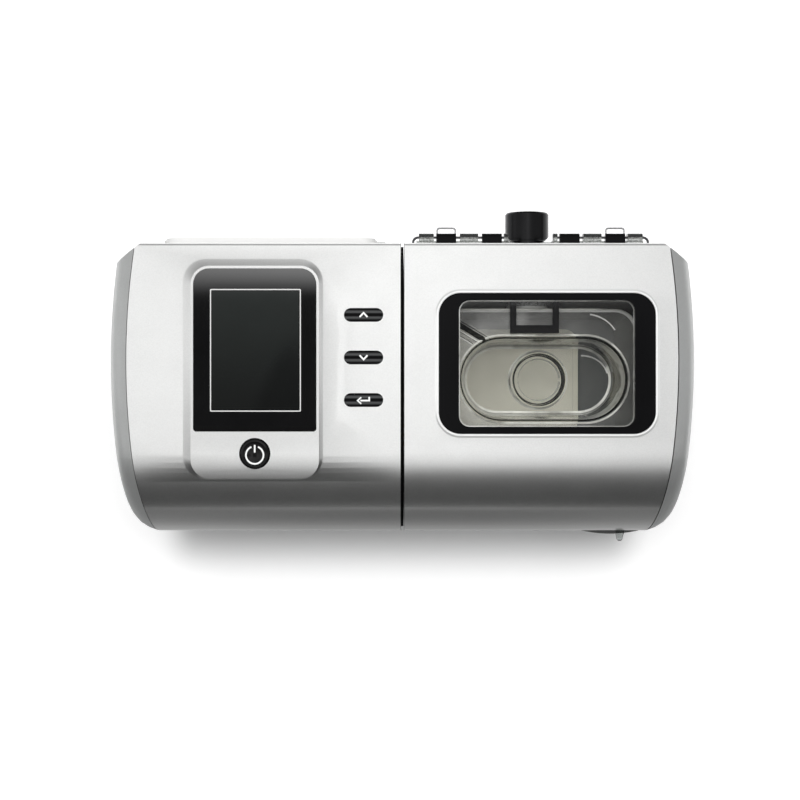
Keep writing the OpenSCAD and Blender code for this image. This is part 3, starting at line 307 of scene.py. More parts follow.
# half the width of the joint, and the near black painted on its faces as painted shade of the deep gap
JOINT_FACE, JOINT_SHADE = 0.95 * MM, (0.012, 0.012, 0.013)


def pearl(name):
    """White pearl lacquer with fine flakes; the faces in the joint between the units are painted near black and matt,
    as painted shade of the deep gap.
    """
    s = Shader(name)
    fine = s.noise(5200.0, 3.0, 0.55)
    shade = s.mottled((0.925, 0.93, 0.92), 35.0, fine, 0.012, 0.93, 0.13, 2600.0)
    # painted shade: the faces in the joint are painted near black, for the shade deep in the gap
    joint = s.math("LESS_THAN", s.math("ABSOLUTE", s.axis("X")), JOINT_FACE)
    shade = s.mix(joint, shade, JOINT_SHADE)
    gloss = s.ramp(s.noise(80.0, 3.0, 0.6), 0.3, 0.7, 0.285, 0.315)
    gloss = s.math("MAXIMUM", gloss, s.math("MULTIPLY", joint, 0.6))
    p = s.principled(shade, gloss, [(s.noise(160.0, 1.0, 0.4), 3e-6), (fine, 6e-7)], coat=1.0, coat_rough=0.025,
                     Metallic=s.ramp(joint, 0.0, 1.0, 0.965, 0.0))
    return s.finish(p.outputs["BSDF"])


PEARL = pearl("pearl_paint")
SILVER = plastic("satin_silver", (0.54, 0.55, 0.545), rough=0.44, metallic=0.75, vary=0.03, patch=40.0,
                 grain=4200.0, grain_depth=1.2e-6, wave=4e-6, coat=0.25, coat_rough=0.2, flakes=0.12,
                 flake_scale=2800.0, dark=0.85)
GREY_BASE = plastic("grey_textured", (0.42, 0.43, 0.425), rough=0.55, vary=0.05, patch=30.0, grain=2200.0,
                    grain_depth=9e-6, dark=0.82)
WHITE_PLASTIC = plastic("white_moulding", (0.74, 0.74, 0.73), rough=0.42, vary=0.03, grain=2600.0,
                        grain_depth=2e-6, dark=0.9)
GREY_PLASTIC = plastic("grey_moulding", (0.075, 0.08, 0.088), rough=0.5, vary=0.08, grain=2600.0, grain_depth=4e-6)
DARK_PLASTIC = plastic("dark_moulding", (0.018, 0.018, 0.020), rough=0.48, vary=0.10, grain=2600.0,
                       grain_depth=4e-6)
BLACK_PLASTIC = plastic("black_moulding", (0.0045, 0.0045, 0.005), rough=0.3, vary=0.15, grain=2400.0,
                        grain_depth=2.5e-6, spec=0.08, coat=0.1, coat_rough=0.08)
CLIP_BLACK = plastic("clip_black", (0.006, 0.006, 0.0065), rough=0.4, vary=0.15, grain=2600.0, grain_depth=3e-6,
                     spec=0.1)
KEY_BLACK = plastic("key_black", (0.0045, 0.0045, 0.0048), rough=0.14, vary=0.10, patch=150.0, grain=3000.0,
                    grain_depth=5e-7, spec=0.22)
FRAME_BLACK = plastic("frame_black", (0.0045, 0.0045, 0.005), rough=0.14, vary=0.10, patch=60.0, grain=2500.0,
                      grain_depth=2e-7, wave=2e-6, wave_scale=120.0, spec=0.05)
TUBE_BLACK = plastic("tube_black", (0.024, 0.024, 0.025), rough=0.22, metallic=1.0, vary=0.12, grain=2400.0,
                     grain_depth=1.5e-6)
STEEL = plastic("plated_steel", (0.60, 0.60, 0.61), rough=0.22, metallic=1.0, vary=0.06, patch=500.0,
                grain=6000.0, grain_depth=8e-7, dark=0.7)
BRASS = plastic("gold_pins", (0.86, 0.62, 0.25), rough=0.2, metallic=1.0, vary=0.05, patch=900.0, grain=5000.0,
                grain_depth=4e-7)
CAN = plastic("motor_can", (0.16, 0.165, 0.175), rough=0.38, metallic=0.7, vary=0.05, grain=2200.0,
              grain_depth=3e-6)
ALUMINIUM = plastic("satin_aluminium", (0.98, 0.955, 0.81), rough=0.42, metallic=0.1, vary=0.10, patch=38.0,
                    grain=420.0, grain_depth=1.5e-6, stretch=(1.0, 14.0, 1.0), dark=0.84, rough_vary=0.2)
SILICONE = plastic("silicone", (0.60, 0.60, 0.58), rough=0.5, vary=0.04, grain=1800.0, grain_depth=2e-6,
                   sheen=0.15)
RUBBER = plastic("black_rubber", (0.014, 0.014, 0.014), rough=0.72, vary=0.12, grain=1500.0, grain_depth=1e-5,
                 sheen=0.1)
BOARD = plastic("solder_mask", (0.012, 0.09, 0.035), rough=0.3, vary=0.2, patch=160.0, grain=900.0,
                grain_depth=4e-6, coat=0.4, coat_rough=0.1)
FELT = plastic("filter_felt", (0.66, 0.70, 0.74), rough=0.9, vary=0.10, patch=260.0, grain=1400.0,
               grain_depth=1.2e-4, sheen=0.4)
CLEAR = clear("clear_moulding", (0.993, 0.995, 0.993), (0.22, 0.24, 0.24), milk=0.6)
PANE = clear("clear_pane", (0.997, 0.998, 0.997), (0.6, 0.63, 0.63), milk=0.6, wave=6e-6, reflect=1.42)
TANK = clear("clear_tank", (0.992, 0.994, 0.992), (0.22, 0.24, 0.24), milk=0.35, wave=4e-5)
TAB = clear("clear_tab", (0.90, 0.92, 0.91), (0.03, 0.032, 0.032), milk=0.1, power=0.8, wave=9e-5, reflect=1.45)
LINER = plastic("tray_grey", (0.22, 0.225, 0.22), rough=0.5, vary=0.05, grain=2600.0, grain_depth=2e-6, dark=0.9)
LIP_GREY = plastic("lip_grey", (0.085, 0.087, 0.085), rough=0.45, vary=0.06, grain=2600.0, grain_depth=3e-6)
DARK_WIRE = plastic("dark_wire", (0.10, 0.10, 0.105), rough=0.3, metallic=0.8, vary=0.08, patch=500.0, grain=6000.0,
                    grain_depth=8e-7, dark=0.7)
# painted shade: the black strip in the joint stands in for the shade deep in the gap between the units
JOINT_SHADE_BLACK = plastic("black_foam_strip", (0.003, 0.003, 0.003), rough=0.9, vary=0.15, grain=1500.0,
                     grain_depth=1e-5, spec=0.05)
BEAD_PAINT = plastic("bead_lacquer", (0.92, 0.925, 0.915), rough=0.3, metallic=0.45, vary=0.015, patch=80.0,
                     grain=5200.0, grain_depth=6e-7, coat=1.0, coat_rough=0.025, dark=0.93)
HINGE_Y = 69.2 * MM


def frosted():
    """Frosted hinge knuckles: speckled and bright in front of the pin, painted dark behind it as painted shade for
    the dark pin seen through the clear plastic.
    """
    s = Shader("clear_hinge")
    # painted shade: the knuckles turn dark behind the pin's axis
    behind = s.ramp(s.axis("Y"), HINGE_Y - 0.5 * MM, HINGE_Y + 0.3 * MM, smooth=True)
    ripple = s.bump([(s.noise(420.0, 3.0, 0.6), 2.5e-4), (s.noise(1500.0, 2.0, 0.5), 8e-6)])
    facing = s.facing(ripple)
    speck = s.ramp(s.noise(900.0, 3.0, 0.6), 0.42, 0.60)
    near = s.mix(speck, (0.50, 0.51, 0.50), (0.92, 0.93, 0.92))
    tint = s.mix(behind, near, (0.14, 0.145, 0.145))
    return s.see_through(s.mix(s.math("POWER", facing, 1.6), tint, (0.10, 0.105, 0.105)),
                         s.mix(behind, (0.66, 0.67, 0.65), (0.07, 0.072, 0.072)),
                         s.ramp(speck, 0.0, 1.0, 0.2, 0.42), ripple, 1.3, rough=0.12)


def foam_material():
    s = Shader("open_cell_foam")
    cell = s.node("TexVoronoi", Vector=s.object_coords(), Scale=900.0, p_feature="DISTANCE_TO_EDGE").outputs[0]
    wall = s.ramp(cell, 0.02, 0.25)
    # painted shade: the pores are painted darker than the cell walls
    shade = s.mix(wall, (0.055, 0.055, 0.062), (0.012, 0.012, 0.014))
    shade = s.mix(s.ramp(s.noise(90.0, 3.0), 0.35, 0.65, 0.0, 0.35), shade, (0.03, 0.03, 0.034))
    p = s.principled(shade, 0.92, [(s.math("SUBTRACT", 1.0, wall), 4e-4)])
    return s.finish(p.outputs[0])


def glass_black():
    """The display window: black print behind coated glass."""
    s = Shader("display_black")
    smear = s.noise(60.0, 5.0, 0.6)
    base = s.mix(s.ramp(smear, 0.3, 0.7), (0.0032, 0.0032, 0.0035), (0.0046, 0.0046, 0.005))
    p = s.principled(base, s.ramp(smear, 0.3, 0.8, 0.035, 0.055), [(s.noise(40.0, 1.0), 3e-6)], spec=1.0,
                     coat=1.0, coat_rough=0.02)
    return s.finish(p.outputs[0])


PIXEL = 0.26 * MM


def lcd_material():
    """Unlit screen: faint pixel grid, painted lighter towards the rear, with a painted dark reflection at the lower
    right.
    """
    s = Shader("screen_grey")
    x, y = s.axis("X"), s.axis("Y")
    columns, rows = (s.ramp(s.math("SINE", s.math("MULTIPLY", axis, 2 * math.pi / PIXEL)), -1.0, 1.0, 0.0, 0.10)
                     for axis in (x, y))
    # painted light: lighter towards the rear
    base = s.mix(s.ramp(y, -0.02, 0.045, smooth=True), (0.0105, 0.0112, 0.0108), (0.024, 0.027, 0.026))
    slant = s.math("ADD", x, s.math("MULTIPLY", y, -0.45))
    # painted reflection: a dark patch at the lower right
    painted_reflection = s.math("MULTIPLY", s.ramp(slant, -0.070, -0.060, smooth=True), s.ramp(y, 0.028, 0.002, smooth=True))
    base = s.mix(s.math("MULTIPLY", painted_reflection, 0.55), base, (0.0045, 0.0047, 0.0048))
    base = s.mix(s.math("ADD", columns, rows), base, (0.004, 0.0045, 0.0045))
    base = s.mix(s.ramp(s.noise(70.0, 4.0, 0.6), 0.3, 0.7, 0.0, 0.18), base, (0.012, 0.0135, 0.013))
    return s.finish(s.principled(base, 0.05, []).outputs[0])


KEY_PITCH = 20.7 * MM


def key_material():
    """Black key caps with a hollow along the middle and rounded lands on either side, painted lighter as a painted
    highlight.
    """
    s = Shader("key_ribbed")
    turns = s.math("DIVIDE", s.math("SUBTRACT", s.axis("Y"), box_centre("key_up")[1]), KEY_PITCH)
    away = s.math("ABSOLUTE", s.math("MULTIPLY", s.math("SUBTRACT", turns, s.math("ROUND", turns)), KEY_PITCH))
    cloud = s.noise(150.0, 4.0, 0.6)
    base = s.mix(s.ramp(cloud, 0.3, 0.7), (0.0024, 0.0024, 0.0026), (0.0034, 0.0034, 0.0036))
    land_and_highlight = s.math("MULTIPLY", s.ramp(away, 0.4 * MM, 1.15 * MM, smooth=True),
                  s.ramp(away, 1.5 * MM, 2.7 * MM, 1.0, 0.0, smooth=True))
    # painted highlight: the lands are painted lighter, as if they caught the light
    base = s.mix(s.math("MULTIPLY", land_and_highlight, 0.8), base, (0.085, 0.087, 0.088))
    p = s.principled(base, s.ramp(cloud, 0.3, 0.7, 0.2, 0.26), [(land_and_highlight, 5e-4), (s.noise(3000.0, 3.0, 0.55), 5e-7)],
                     spec=0.04)
    return s.finish(p.outputs["BSDF"])


FROSTED = frosted()
KEY_RIBBED = key_material()
FOAM = foam_material()
DISPLAY = glass_black()
LCD = lcd_material()
PRINT = plastic("white_print", (0.86, 0.87, 0.86), rough=0.35, vary=0.05, patch=900.0, grain=4000.0,
                grain_depth=3e-7, dark=0.8)
SILVER_PRINT = plastic("silver_print", (0.66, 0.66, 0.65), rough=0.3, vary=0.06, patch=300.0, grain=4000.0,
                       grain_depth=3e-7, dark=0.8)

FINISH = {
    PEARL: ["blower_cover", "lid_shell"],
    SILVER: ["left_end_panel", "right_end_panel"],
    GREY_BASE: ["blower_base", "humidifier_base", "filter_latch"],
    WHITE_PLASTIC: ["filter_cover", "fan_wheel"],
    LINER: ["tank_tray"],
    LIP_GREY: ["finger_lip"],
    DARK_WIRE: ["hinge_pin"],
    GREY_PLASTIC: ["fan_housing", "fan_housing_cover"],
    DARK_PLASTIC: ["heater_pad"],
    CLIP_BLACK: ["tank_clip"],
    TUBE_BLACK: ["outlet_tube"],
    BLACK_PLASTIC: ["dock_plug", "dock_socket", "power_socket"],
    KEY_BLACK: ["power_button"],
    KEY_RIBBED: ["key_up", "key_down", "key_enter"],
    FRAME_BLACK: ["lid_frame"],
    DISPLAY: ["display_glass"],
    LCD: ["lcd_module"],
    STEEL: ["wire_loops", "motor_shaft", "latch_pin", "board_screws", "mount_screws",
            "blower_screws", "humidifier_screws", "lid_screws"],
    BRASS: ["dock_pins"],
    CAN: ["fan_motor"],
    ALUMINIUM: ["heater_plate", "tank_plate"],
    SILICONE: ["keypad_membrane", "port_bellows", "tank_seal", "outlet_seal"],
    RUBBER: ["rubber_mounts", "blower_feet", "humidifier_feet", "cap_seal"],
    BOARD: ["control_board"],
    FOAM: ["silencer_foam"],
    FELT: ["air_filter"],
    CLEAR: ["tank_cover", "fill_cap"],
    TAB: ["lid_latch"],
    PANE: ["window_pane"],
    TANK: ["water_tank"],
    FROSTED: ["hinge_rail"],
}


def dress(obj, material):
    """Give a carried-over node its material and soft shading with crisp creases."""
    mesh = obj.data
    mesh.materials.clear()
    mesh.materials.append(material)
    if "custom_normal" in mesh.attributes:
        mesh.attributes.remove(mesh.attributes["custom_normal"])
    for polygon in mesh.polygons:
        polygon.use_smooth = True
    obj.modifiers.new("weld", "WELD").merge_threshold = WELD_REACH
    split_creases(obj, CREASE)


finished = set()
for material, names in FINISH.items():
    for name in names:
        dress(NODES[name], material)
        finished.add(name)
for name in sorted(set(NODES) - finished):
    print("node without a finish:", name)


# Printed signs, laid on the faces that carry them

PRINT_LIFT, PRINT_DEPTH, PRINT_STEP, PRINT_ROUNDS = 0.03 * MM, 0.05 * MM, 0.45 * MM, 6
STRAIGHT_UP, STRAIGHT_DOWN = (0, 0, 1), (0, 0, -1)


def printed(name, outlines, node, body, material, lift=PRINT_LIFT, depth=PRINT_DEPTH, step=PRINT_STEP):
    """Thin solid shapes that follow the carrying node's top face. outlines: (outer loop, list of holes)."""
    surface = surface_of(node)
    bm = bmesh.new()
    for loop, holes in outlines:
        edges = []
        for ring in [loop] + holes:
            verts = [bm.verts.new((x, y, 0.0)) for x, y in ring]
            edges += [bm.edges.new((verts[i], verts[(i + 1) % len(verts)])) for i in range(len(verts))]
        bmesh.ops.triangle_fill(bm, edges=edges, use_beauty=True, normal=STRAIGHT_UP)
    for _ in range(PRINT_ROUNDS):
        long_edges = [e for e in bm.edges if e.calc_length() > step * 2]
        if not long_edges:
            break
        bmesh.ops.subdivide_edges(bm, edges=long_edges, cuts=1)
        bmesh.ops.triangulate(bm, faces=bm.faces[:])
    for v in bm.verts:
        v.co.z = surface.ray_cast((v.co.x, v.co.y, FAR_OFF), STRAIGHT_DOWN)[0].z + lift
    bmesh.ops.recalc_face_normals(bm, faces=bm.faces[:])
    for f in bm.faces:
        if f.normal.z < 0:
            f.normal_flip()
    skin = set(bmesh.ops.extrude_face_region(bm, geom=bm.faces[:])["geom"])
    for v in bm.verts:
        if v not in skin:
            v.co.z -= depth
    bmesh.ops.recalc_face_normals(bm, faces=bm.faces[:])
    # the extruded sides come in another order each run
    ordered = sorted(bm.faces, key=lambda face: tuple(face.calc_center_median()))
    place = {face: float(i) for i, face in enumerate(ordered)}
    bm.faces.sort(key=lambda face: place[face])
    mesh = bpy.data.meshes.new(name)
    bm.to_mesh(mesh)
    bm.free()
    mesh.materials.append(material)
    add_object(name, mesh, body)


def stroke(points, width):
    """Outline of an open polyline of one width, with mitred corners."""
    pts = [Vector((x, y)) for x, y in points]
    left, right = [], []
    for i, p in enumerate(pts):
        before = (p - pts[i - 1]).normalized() if i > 0 else (pts[1] - pts[0]).normalized()
        after = (pts[i + 1] - p).normalized() if i < len(pts) - 1 else before
        side = Vector((-before.y, before.x)) + Vector((-after.y, after.x))
        side.normalize()
        scale = 1.0 / max(0.35, side.dot(Vector((-after.y, after.x))))
        left.append(tuple(p + side * scale * width / 2))
        right.append(tuple(p - side * scale * width / 2))
    return left + right[::-1]


# power symbol: a ring that is open at the rear, and a bar in the opening
button_x, button_y = box_centre("power_button")
RING_OUT, RING_IN, RING_START, RING_END = 4.65 * MM, 3.85 * MM, 112, 428
ring_y = button_y - 0.7 * MM
ring = (arc(button_x, ring_y, RING_OUT, RING_START, RING_END, 40)
        + arc(button_x, ring_y, RING_IN, RING_END, RING_START, 40))
bar = rounded(button_x, ring_y + 3.1 * MM, 0.8 * MM, 3.8 * MM, 0.35 * MM, 4)
printed("power_sign", [(ring, []), (bar, [])], "power_button", "power_button", PRINT)

# key signs: strokes as (points, width) from the key's centre, mm
KEY_SIGNS = {
    "key_up": [(((-1.9, -1.05), (0, 1.0), (1.9, -1.05)), 0.8)],
    "key_down": [(((1.9, 1.05), (0, -1.0), (-1.9, 1.05)), 0.8)],
    "key_enter": [(((2.75, 1.55), (2.75, -0.25), (-1.6, -0.25)), 0.8),
                  (((-1.15, 1.35), (-2.9, -0.25), (-1.15, -1.85)), 0.7)],
}
for node, strokes in KEY_SIGNS.items():
    kx, ky = box_centre(node)
    printed(node + "_sign", [(stroke([(kx + x * MM, ky + y * MM) for x, y in points], width * MM), [])
                             for points, width in strokes], node, node, PRINT)

# the screen's centre and size
SCREEN_X, SCREEN_Y, SCREEN_W, SCREEN_D = -71.3 * MM, 13.2 * MM, 44.1 * MM, 59.5 * MM


def screen(inset, r):
    return rounded(SCREEN_X, SCREEN_Y, SCREEN_W - 2 * inset, SCREEN_D - 2 * inset, r, 3)


printed("screen_outline", [(screen(0.0, 0.5 * MM), [screen(0.55 * MM, 0.3 * MM)])], "display_glass", "main_unit",
        SILVER_PRINT, step=3 * MM)
printed("screen_area", [(screen(1.0 * MM, 0.3 * MM), [])], "display_glass", "main_unit", LCD,
        lift=0.015 * MM, depth=0.03 * MM, step=6 * MM)


# Tank cover with rounded rims, in place of the plain one

def cover_material(name, tint, edge, milk, milk_colour, grain=2e-5, painted_streaks=0.0):
    """Clear cover plastic. milk: how much light its edges gather, or (x, share, x, share) of a slope along X. The
    dark streaks are painted shade.
    """
    s = Shader(name)
    if isinstance(milk, tuple):
        x0, milk0, x1, milk1 = milk
        milk = s.ramp(s.axis("X"), x0, x1, milk0, milk1, smooth=True)
    ripple = s.polished(grain)
    body = s.mix(s.math("POWER", s.facing(ripple), 1.5), tint, edge)
    if painted_streaks:
        # painted shade: dark streaks stand in for the dark bands that bent light leaves in the wall, and take the
        # milk away there
        painted_streak = s.math("MULTIPLY", s.ramp(s.noise(48.0, 2.0, 0.5), 0.50, 0.60, smooth=True), painted_streaks)
        body = s.mix(painted_streak, body, (0.10, 0.105, 0.10))
        milk = s.math("MULTIPLY", s.math("SUBTRACT", 1.0, painted_streak), milk)
    patchy = s.ramp(s.noise(55.0, 3.0, 0.6), 0.32, 0.68, 0.35, 1.0)
    return s.see_through(body, milk_colour, s.math("MULTIPLY", patchy, milk), ripple, 1.25)


CLEAR_TINT, CLEAR_EDGE = (0.995, 0.996, 0.995), (0.75, 0.78, 0.77)
WALL_TINT, WALL_GRAIN = (0.95, 0.955, 0.95), 1.6e-4
# in the order of PLAIN, LIT, SOFT, DARK, BRIGHT, HAZE and DEEP; LIT, SOFT and BRIGHT are painted light, DARK and DEEP
# painted shade, for the bands that light bent in the rims makes
COVER_MATERIALS = (
    cover_material("cover_flat", CLEAR_TINT, CLEAR_EDGE, 0.0, (0.8, 0.8, 0.76)),
    cover_material("cover_lit_edge", WALL_TINT, (0.85, 0.86, 0.84), 0.85, (1.0, 1.0, 0.93), painted_streaks=0.5),
    cover_material("cover_wall", WALL_TINT, (0.80, 0.82, 0.80), 0.72, (0.98, 0.98, 0.90), WALL_GRAIN, 0.95),
    cover_material("cover_dark_edge", (0.12, 0.125, 0.12), (0.04, 0.042, 0.042), 0.0, (0.1, 0.1, 0.1)),
    cover_material("cover_bright_edge", WHITE, WHITE, 1.0, (1.0, 1.0, 0.97)),
    # the flange looks milky on the left and clear on the right
    cover_material("cover_flange", CLEAR_TINT, CLEAR_EDGE, (0.030, 0.36, 0.110, 0.08), (0.8, 0.8, 0.78)),
    cover_material("cover_deep_wall", (0.40, 0.41, 0.39), (0.22, 0.225, 0.215), 0.12, (0.8, 0.8, 0.7), WALL_GRAIN),
)
PLAIN, LIT, SOFT, DARK, BRIGHT, HAZE, DEEP = range(7)

WELL_X, WELL_Y = box_centre("fill_cap")
WELL_W, WELL_D = 82.9 * MM, 41.3 * MM
COVER_TOP = 93.4 * MM
# (offset outward from the well's rim, height, material of the band up to the next row), mm
WELL_PROFILE = ((1.75, 93.4, LIT), (1.35, 93.75, LIT), (0.75, 93.95, PLAIN), (0.25, 93.85, DARK),
                (-0.15, 93.3, DARK), (-0.55, 91.8, LIT), (-0.7, 90.2, SOFT), (-1.3, 85.0, SOFT),
                (-1.75, 80.0, DEEP), (-2.1, 76.0, DEEP), (-2.55, 71.0, DARK), (-3.05, 65.0, DARK),
                (-3.25, 63.2, LIT), (-3.8, 62.35, LIT), (-4.5, 62.0, PLAIN))
FLANGE_X, FLANGE_Y, FLANGE_W, FLANGE_D, FLANGE_R = 65.97 * MM, -1.13 * MM, 103.9 * MM, 71.9 * MM, 12 * MM
# (inset, depth under the cover's top, material up from this row), mm
FLANGE_PROFILE = ((0.9, 0.0, HAZE), (0.25, 0.3, LIT), (0.0, 0.9, SOFT), (0.0, 2.4, DARK))
# collar of the cap's hole: (radius, height, material from the row before to this one), mm
COLLAR_PROFILE = ((15.6, 62.0, PLAIN), (14.9, 62.6, LIT), (14.6, 67.6, SOFT), (14.2, 68.7, LIT),
                  (13.6, 68.9, PLAIN), (13.25, 68.5, DARK), (13.15, 60.2, DARK))
# diagonal bars of the flange, whose faces carry painted light and shade: (place across the bars, width, materials),
# mm
BARS = ((6.9, 0.9, (LIT, PLAIN, DARK)), (4.6, 2.6, (DARK, DARK, DARK)), (2.2, 0.9, (BRIGHT, LIT, DARK)),
        (-0.4, 1.3, (DARK, LIT, BRIGHT)))
# the bar at place BARS_ZERO runs through BARS_THROUGH, starts BARS_LEAD before it and has the length BARS_LENGTH;
# the length grows with the place by BARS_GROWTH
BARS_THROUGH, BARS_SLOPE = Vector((28.9 * MM, 26.2 * MM)), math.radians(-31)
BARS_ZERO, BARS_LEAD, BARS_LENGTH, BARS_GROWTH = 4.6, 11.0, 25.6, 0.9   # mm
# all bars are cut off this far inside the cover's left edge
BARS_MARGIN = 1.0 * MM
BARS_HEIGHT, ARCS_HEIGHT = 0.55 * MM, 0.5 * MM
# painted highlights: lit arcs of the floor's raised panel and the rib at the rear right: (start x, start y,
# reach in x, reach in y, range of angles, width, height of the foot), mm
LIT_ARCS = ((93.0, 12.2, 13.8, -11.2, range(0, 81, 8), 0.9, 62.0),
            (95.0, -16.4, 11.8, 11.0, range(0, 81, 8), 0.9, 62.0),
            (90.5, 32.0, 17.0, -14.0, range(10, 66, 5), 0.8, 93.4))


def cover_mesh():
    """Cover with its flange, the well that hangs from it and the collar of the cap's hole; its bands, bars and arcs
    carry painted light and shade.
    """
    bm = bmesh.new()

    def loop_at(points, z):
        return [bm.verts.new((x, y, z)) for x, y in points]

    def band(low, high, index):
        count = len(low)
        for i in range(count):
            k = (i + 1) % count
            face = bm.faces.new((low[i], low[k], high[k], high[i]))
            face.material_index = index
            face.smooth = True

    def loop_edges(verts):
        pairs = [(verts[i], verts[(i + 1) % len(verts)]) for i in range(len(verts))]
        return [bm.edges.get(pair) or bm.edges.new(pair) for pair in pairs]

    def plate(outer_loop, inner_loop, index):
        made = bmesh.ops.triangle_fill(bm, edges=loop_edges(outer_loop) + loop_edges(inner_loop), use_beauty=True,
                                       normal=STRAIGHT_UP)
        for face in [g for g in made["geom"] if isinstance(g, bmesh.types.BMFace)]:
            face.material_index = index

    def ridge(path, width, height, z, sides):
        """A low rounded bar along a path; sides: materials of its left, top and right faces."""
        half = width / 2
        rows = []
        for i, (px, py) in enumerate(path):
            back, ahead = path[max(i - 1, 0)], path[min(i + 1, len(path) - 1)]
            along = Vector((ahead[0] - back[0], ahead[1] - back[1])).normalized()
            nx, ny = -along.y, along.x
            rows.append([bm.verts.new((px + nx * half * f, py + ny * half * f, z + height * g))
                         for f, g in ((1.0, 0.0), (0.45, 1.0), (-0.45, 1.0), (-1.0, 0.0))])
        for low, high in zip(rows, rows[1:]):
            for i in range(3):
                face = bm.faces.new((low[i], low[i + 1], high[i + 1], high[i]))
                face.material_index = sides[i]

    well = [loop_at(stadium(WELL_X, WELL_Y, WELL_W + 2 * offset * MM, WELL_D + 2 * offset * MM), z * MM)
            for offset, z, _ in WELL_PROFILE]
    for low, high, row in zip(well, well[1:], WELL_PROFILE):
        band(low, high, row[2])
    flange = [loop_at(rounded(FLANGE_X, FLANGE_Y, FLANGE_W - 2 * inset * MM, FLANGE_D - 2 * inset * MM,
                              FLANGE_R - inset * MM, 10), COVER_TOP - down * MM) for inset, down, _ in FLANGE_PROFILE]
    plate(flange[0], well[0], FLANGE_PROFILE[0][2])
    for high, low, row in zip(flange, flange[1:], FLANGE_PROFILE[1:]):
        band(low, high, row[2])
    collar = [loop_at(arc(WELL_X, WELL_Y, r * MM, 0, 360 - 360 / ROUND_STEPS, ROUND_STEPS - 1), z * MM)
              for r, z, _ in COLLAR_PROFILE]
    plate(well[-1], collar[0], COLLAR_PROFILE[0][2])
    for low, high, row in zip(collar, collar[1:], COLLAR_PROFILE[1:]):
        band(low, high, row[2])

    along = Vector((math.cos(BARS_SLOPE), math.sin(BARS_SLOPE)))
    across = Vector((-along.y, along.x))
    left_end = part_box("tank_cover")[0].x + BARS_MARGIN
    for place, width, sides in BARS:
        start = BARS_THROUGH + across * (place - BARS_ZERO) * MM - along * BARS_LEAD * MM
        length = BARS_LENGTH - (BARS_ZERO - place) * BARS_GROWTH
        path = [tuple(start + along * length * MM * t / 4) for t in range(5)]
        ridge([(x, y) for x, y in path if x > left_end], width * MM, BARS_HEIGHT, COVER_TOP, sides)
    for x, y, reach_x, reach_y, angles, width, foot in LIT_ARCS:
        path = [((x + reach_x * math.sin(math.radians(a))) * MM, (y + reach_y * (1 - math.cos(math.radians(a)))) * MM)
                for a in angles]
        ridge(path, width * MM, ARCS_HEIGHT, foot * MM, (BRIGHT, BRIGHT, BRIGHT))
    bmesh.ops.recalc_face_normals(bm, faces=bm.faces[:])
    mesh = bpy.data.meshes.new("tank_cover_form")
    bm.to_mesh(mesh)
    bm.free()
    for m in COVER_MATERIALS:
        mesh.materials.append(m)
    return mesh


cover_form = add_object("tank_cover_form", cover_mesh())
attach(cover_form, "humidifier")
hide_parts("tank_cover")


# Thin trim: black strip in the joint between the units as painted shade, bead round the window, edge of the pane with
# a painted highlight

STRIP_CENTRE = Vector((-1.6 * MM, -8.0 * MM, 52.0 * MM))
# section of the strip: (x, depth under the left unit's skin), mm
STRIP_SECTION = ((-0.70, 2.2), (0.45, 2.2), (0.45, 7.5), (-0.70, 7.5))
STRIP_COUNT = 160


def joint_strip():
    """A black band that follows the left unit's outline just inside the joint, as painted shade that keeps the joint
    dark.
    """
    shell = surface_of("blower_cover", "blower_base")
    angles = [2 * math.pi * i / STRIP_COUNT for i in range(STRIP_COUNT)]
    ways = [Vector((0.0, math.cos(a), math.sin(a))) for a in angles]
    reach = [(shell.ray_cast(STRIP_CENTRE + way * FAR_OFF, -way)[0] - STRIP_CENTRE).length for way in ways]
    loops = [[(x * MM, STRIP_CENTRE.y + (r - inset * MM) * math.cos(a),
               STRIP_CENTRE.z + (r - inset * MM) * math.sin(a)) for a, r in zip(angles, reach)]
             for x, inset in STRIP_SECTION]
    mesh_object("joint_strip", *tube_of(loops), JOINT_SHADE_BLACK, "main_unit", "black_plastic")


PANE_W, PANE_L, PANE_R = 85.8 * MM, 61.8 * MM, 5.4 * MM
# section of the bevel: (inset, height over the pane), mm
BEVEL_SECTION = ((0.02, 0.0), (0.12, 0.28), (0.38, 0.3), (0.62, 0.0))
BEAD_W, BEAD_L, BEAD_R = 105.5 * MM, 68.6 * MM, 10.7 * MM
# section of the bead: (offset outward from the frame's hole, height over the lid's flat top), mm
BEAD_SECTION = ((0.10, 0.50), (0.20, 0.62), (0.50, 0.67), (0.80, 0.66), (1.05, 0.60), (1.30, 0.42),
                (1.55, 0.20), (1.80, 0.05), (1.95, 0.01), (1.95, -0.2), (0.10, -0.2))
# painted highlight: the pane's bevel is milky and brighter towards the left, for the light along its edge
PANE_EDGE_HIGHLIGHT = cover_material("pane_bevel", (0.75, 0.76, 0.75), (0.5, 0.5, 0.5), (0.045, 0.95, 0.12, 0.3),
                           (1.0, 1.0, 0.96))


def window_trim(name, w, d, r, count, base, section, material, slot):
    """A strip round the window; section: (offset outward in mm, height over base in mm)."""
    cx, cy = box_centre("window_pane")
    loops = [[(x, y, base + z * MM)
              for x, y in rounded(cx, cy, w + 2 * out * MM, d + 2 * out * MM, r + out * MM, count)]
             for out, z in section]
    return mesh_object(name, *tube_of(loops), material, "lid", slot, smooth=True)


joint_strip()
bead = window_trim("window_bead", BEAD_W, BEAD_L, BEAD_R, 12, CASING_TOP, BEAD_SECTION, BEAD_PAINT, "pearl_white")
split_creases(bead, BEAD_CREASE)
window_trim("pane_edge", PANE_W, PANE_L, PANE_R, 10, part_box("window_pane")[1].z,
            [(-inset, z) for inset, z in BEVEL_SECTION], PANE_EDGE_HIGHLIGHT, "clear_plastic")


# Floor, light and camera

FLOOR_LIFT = 0.34
FLOOR_HALF = 6.0
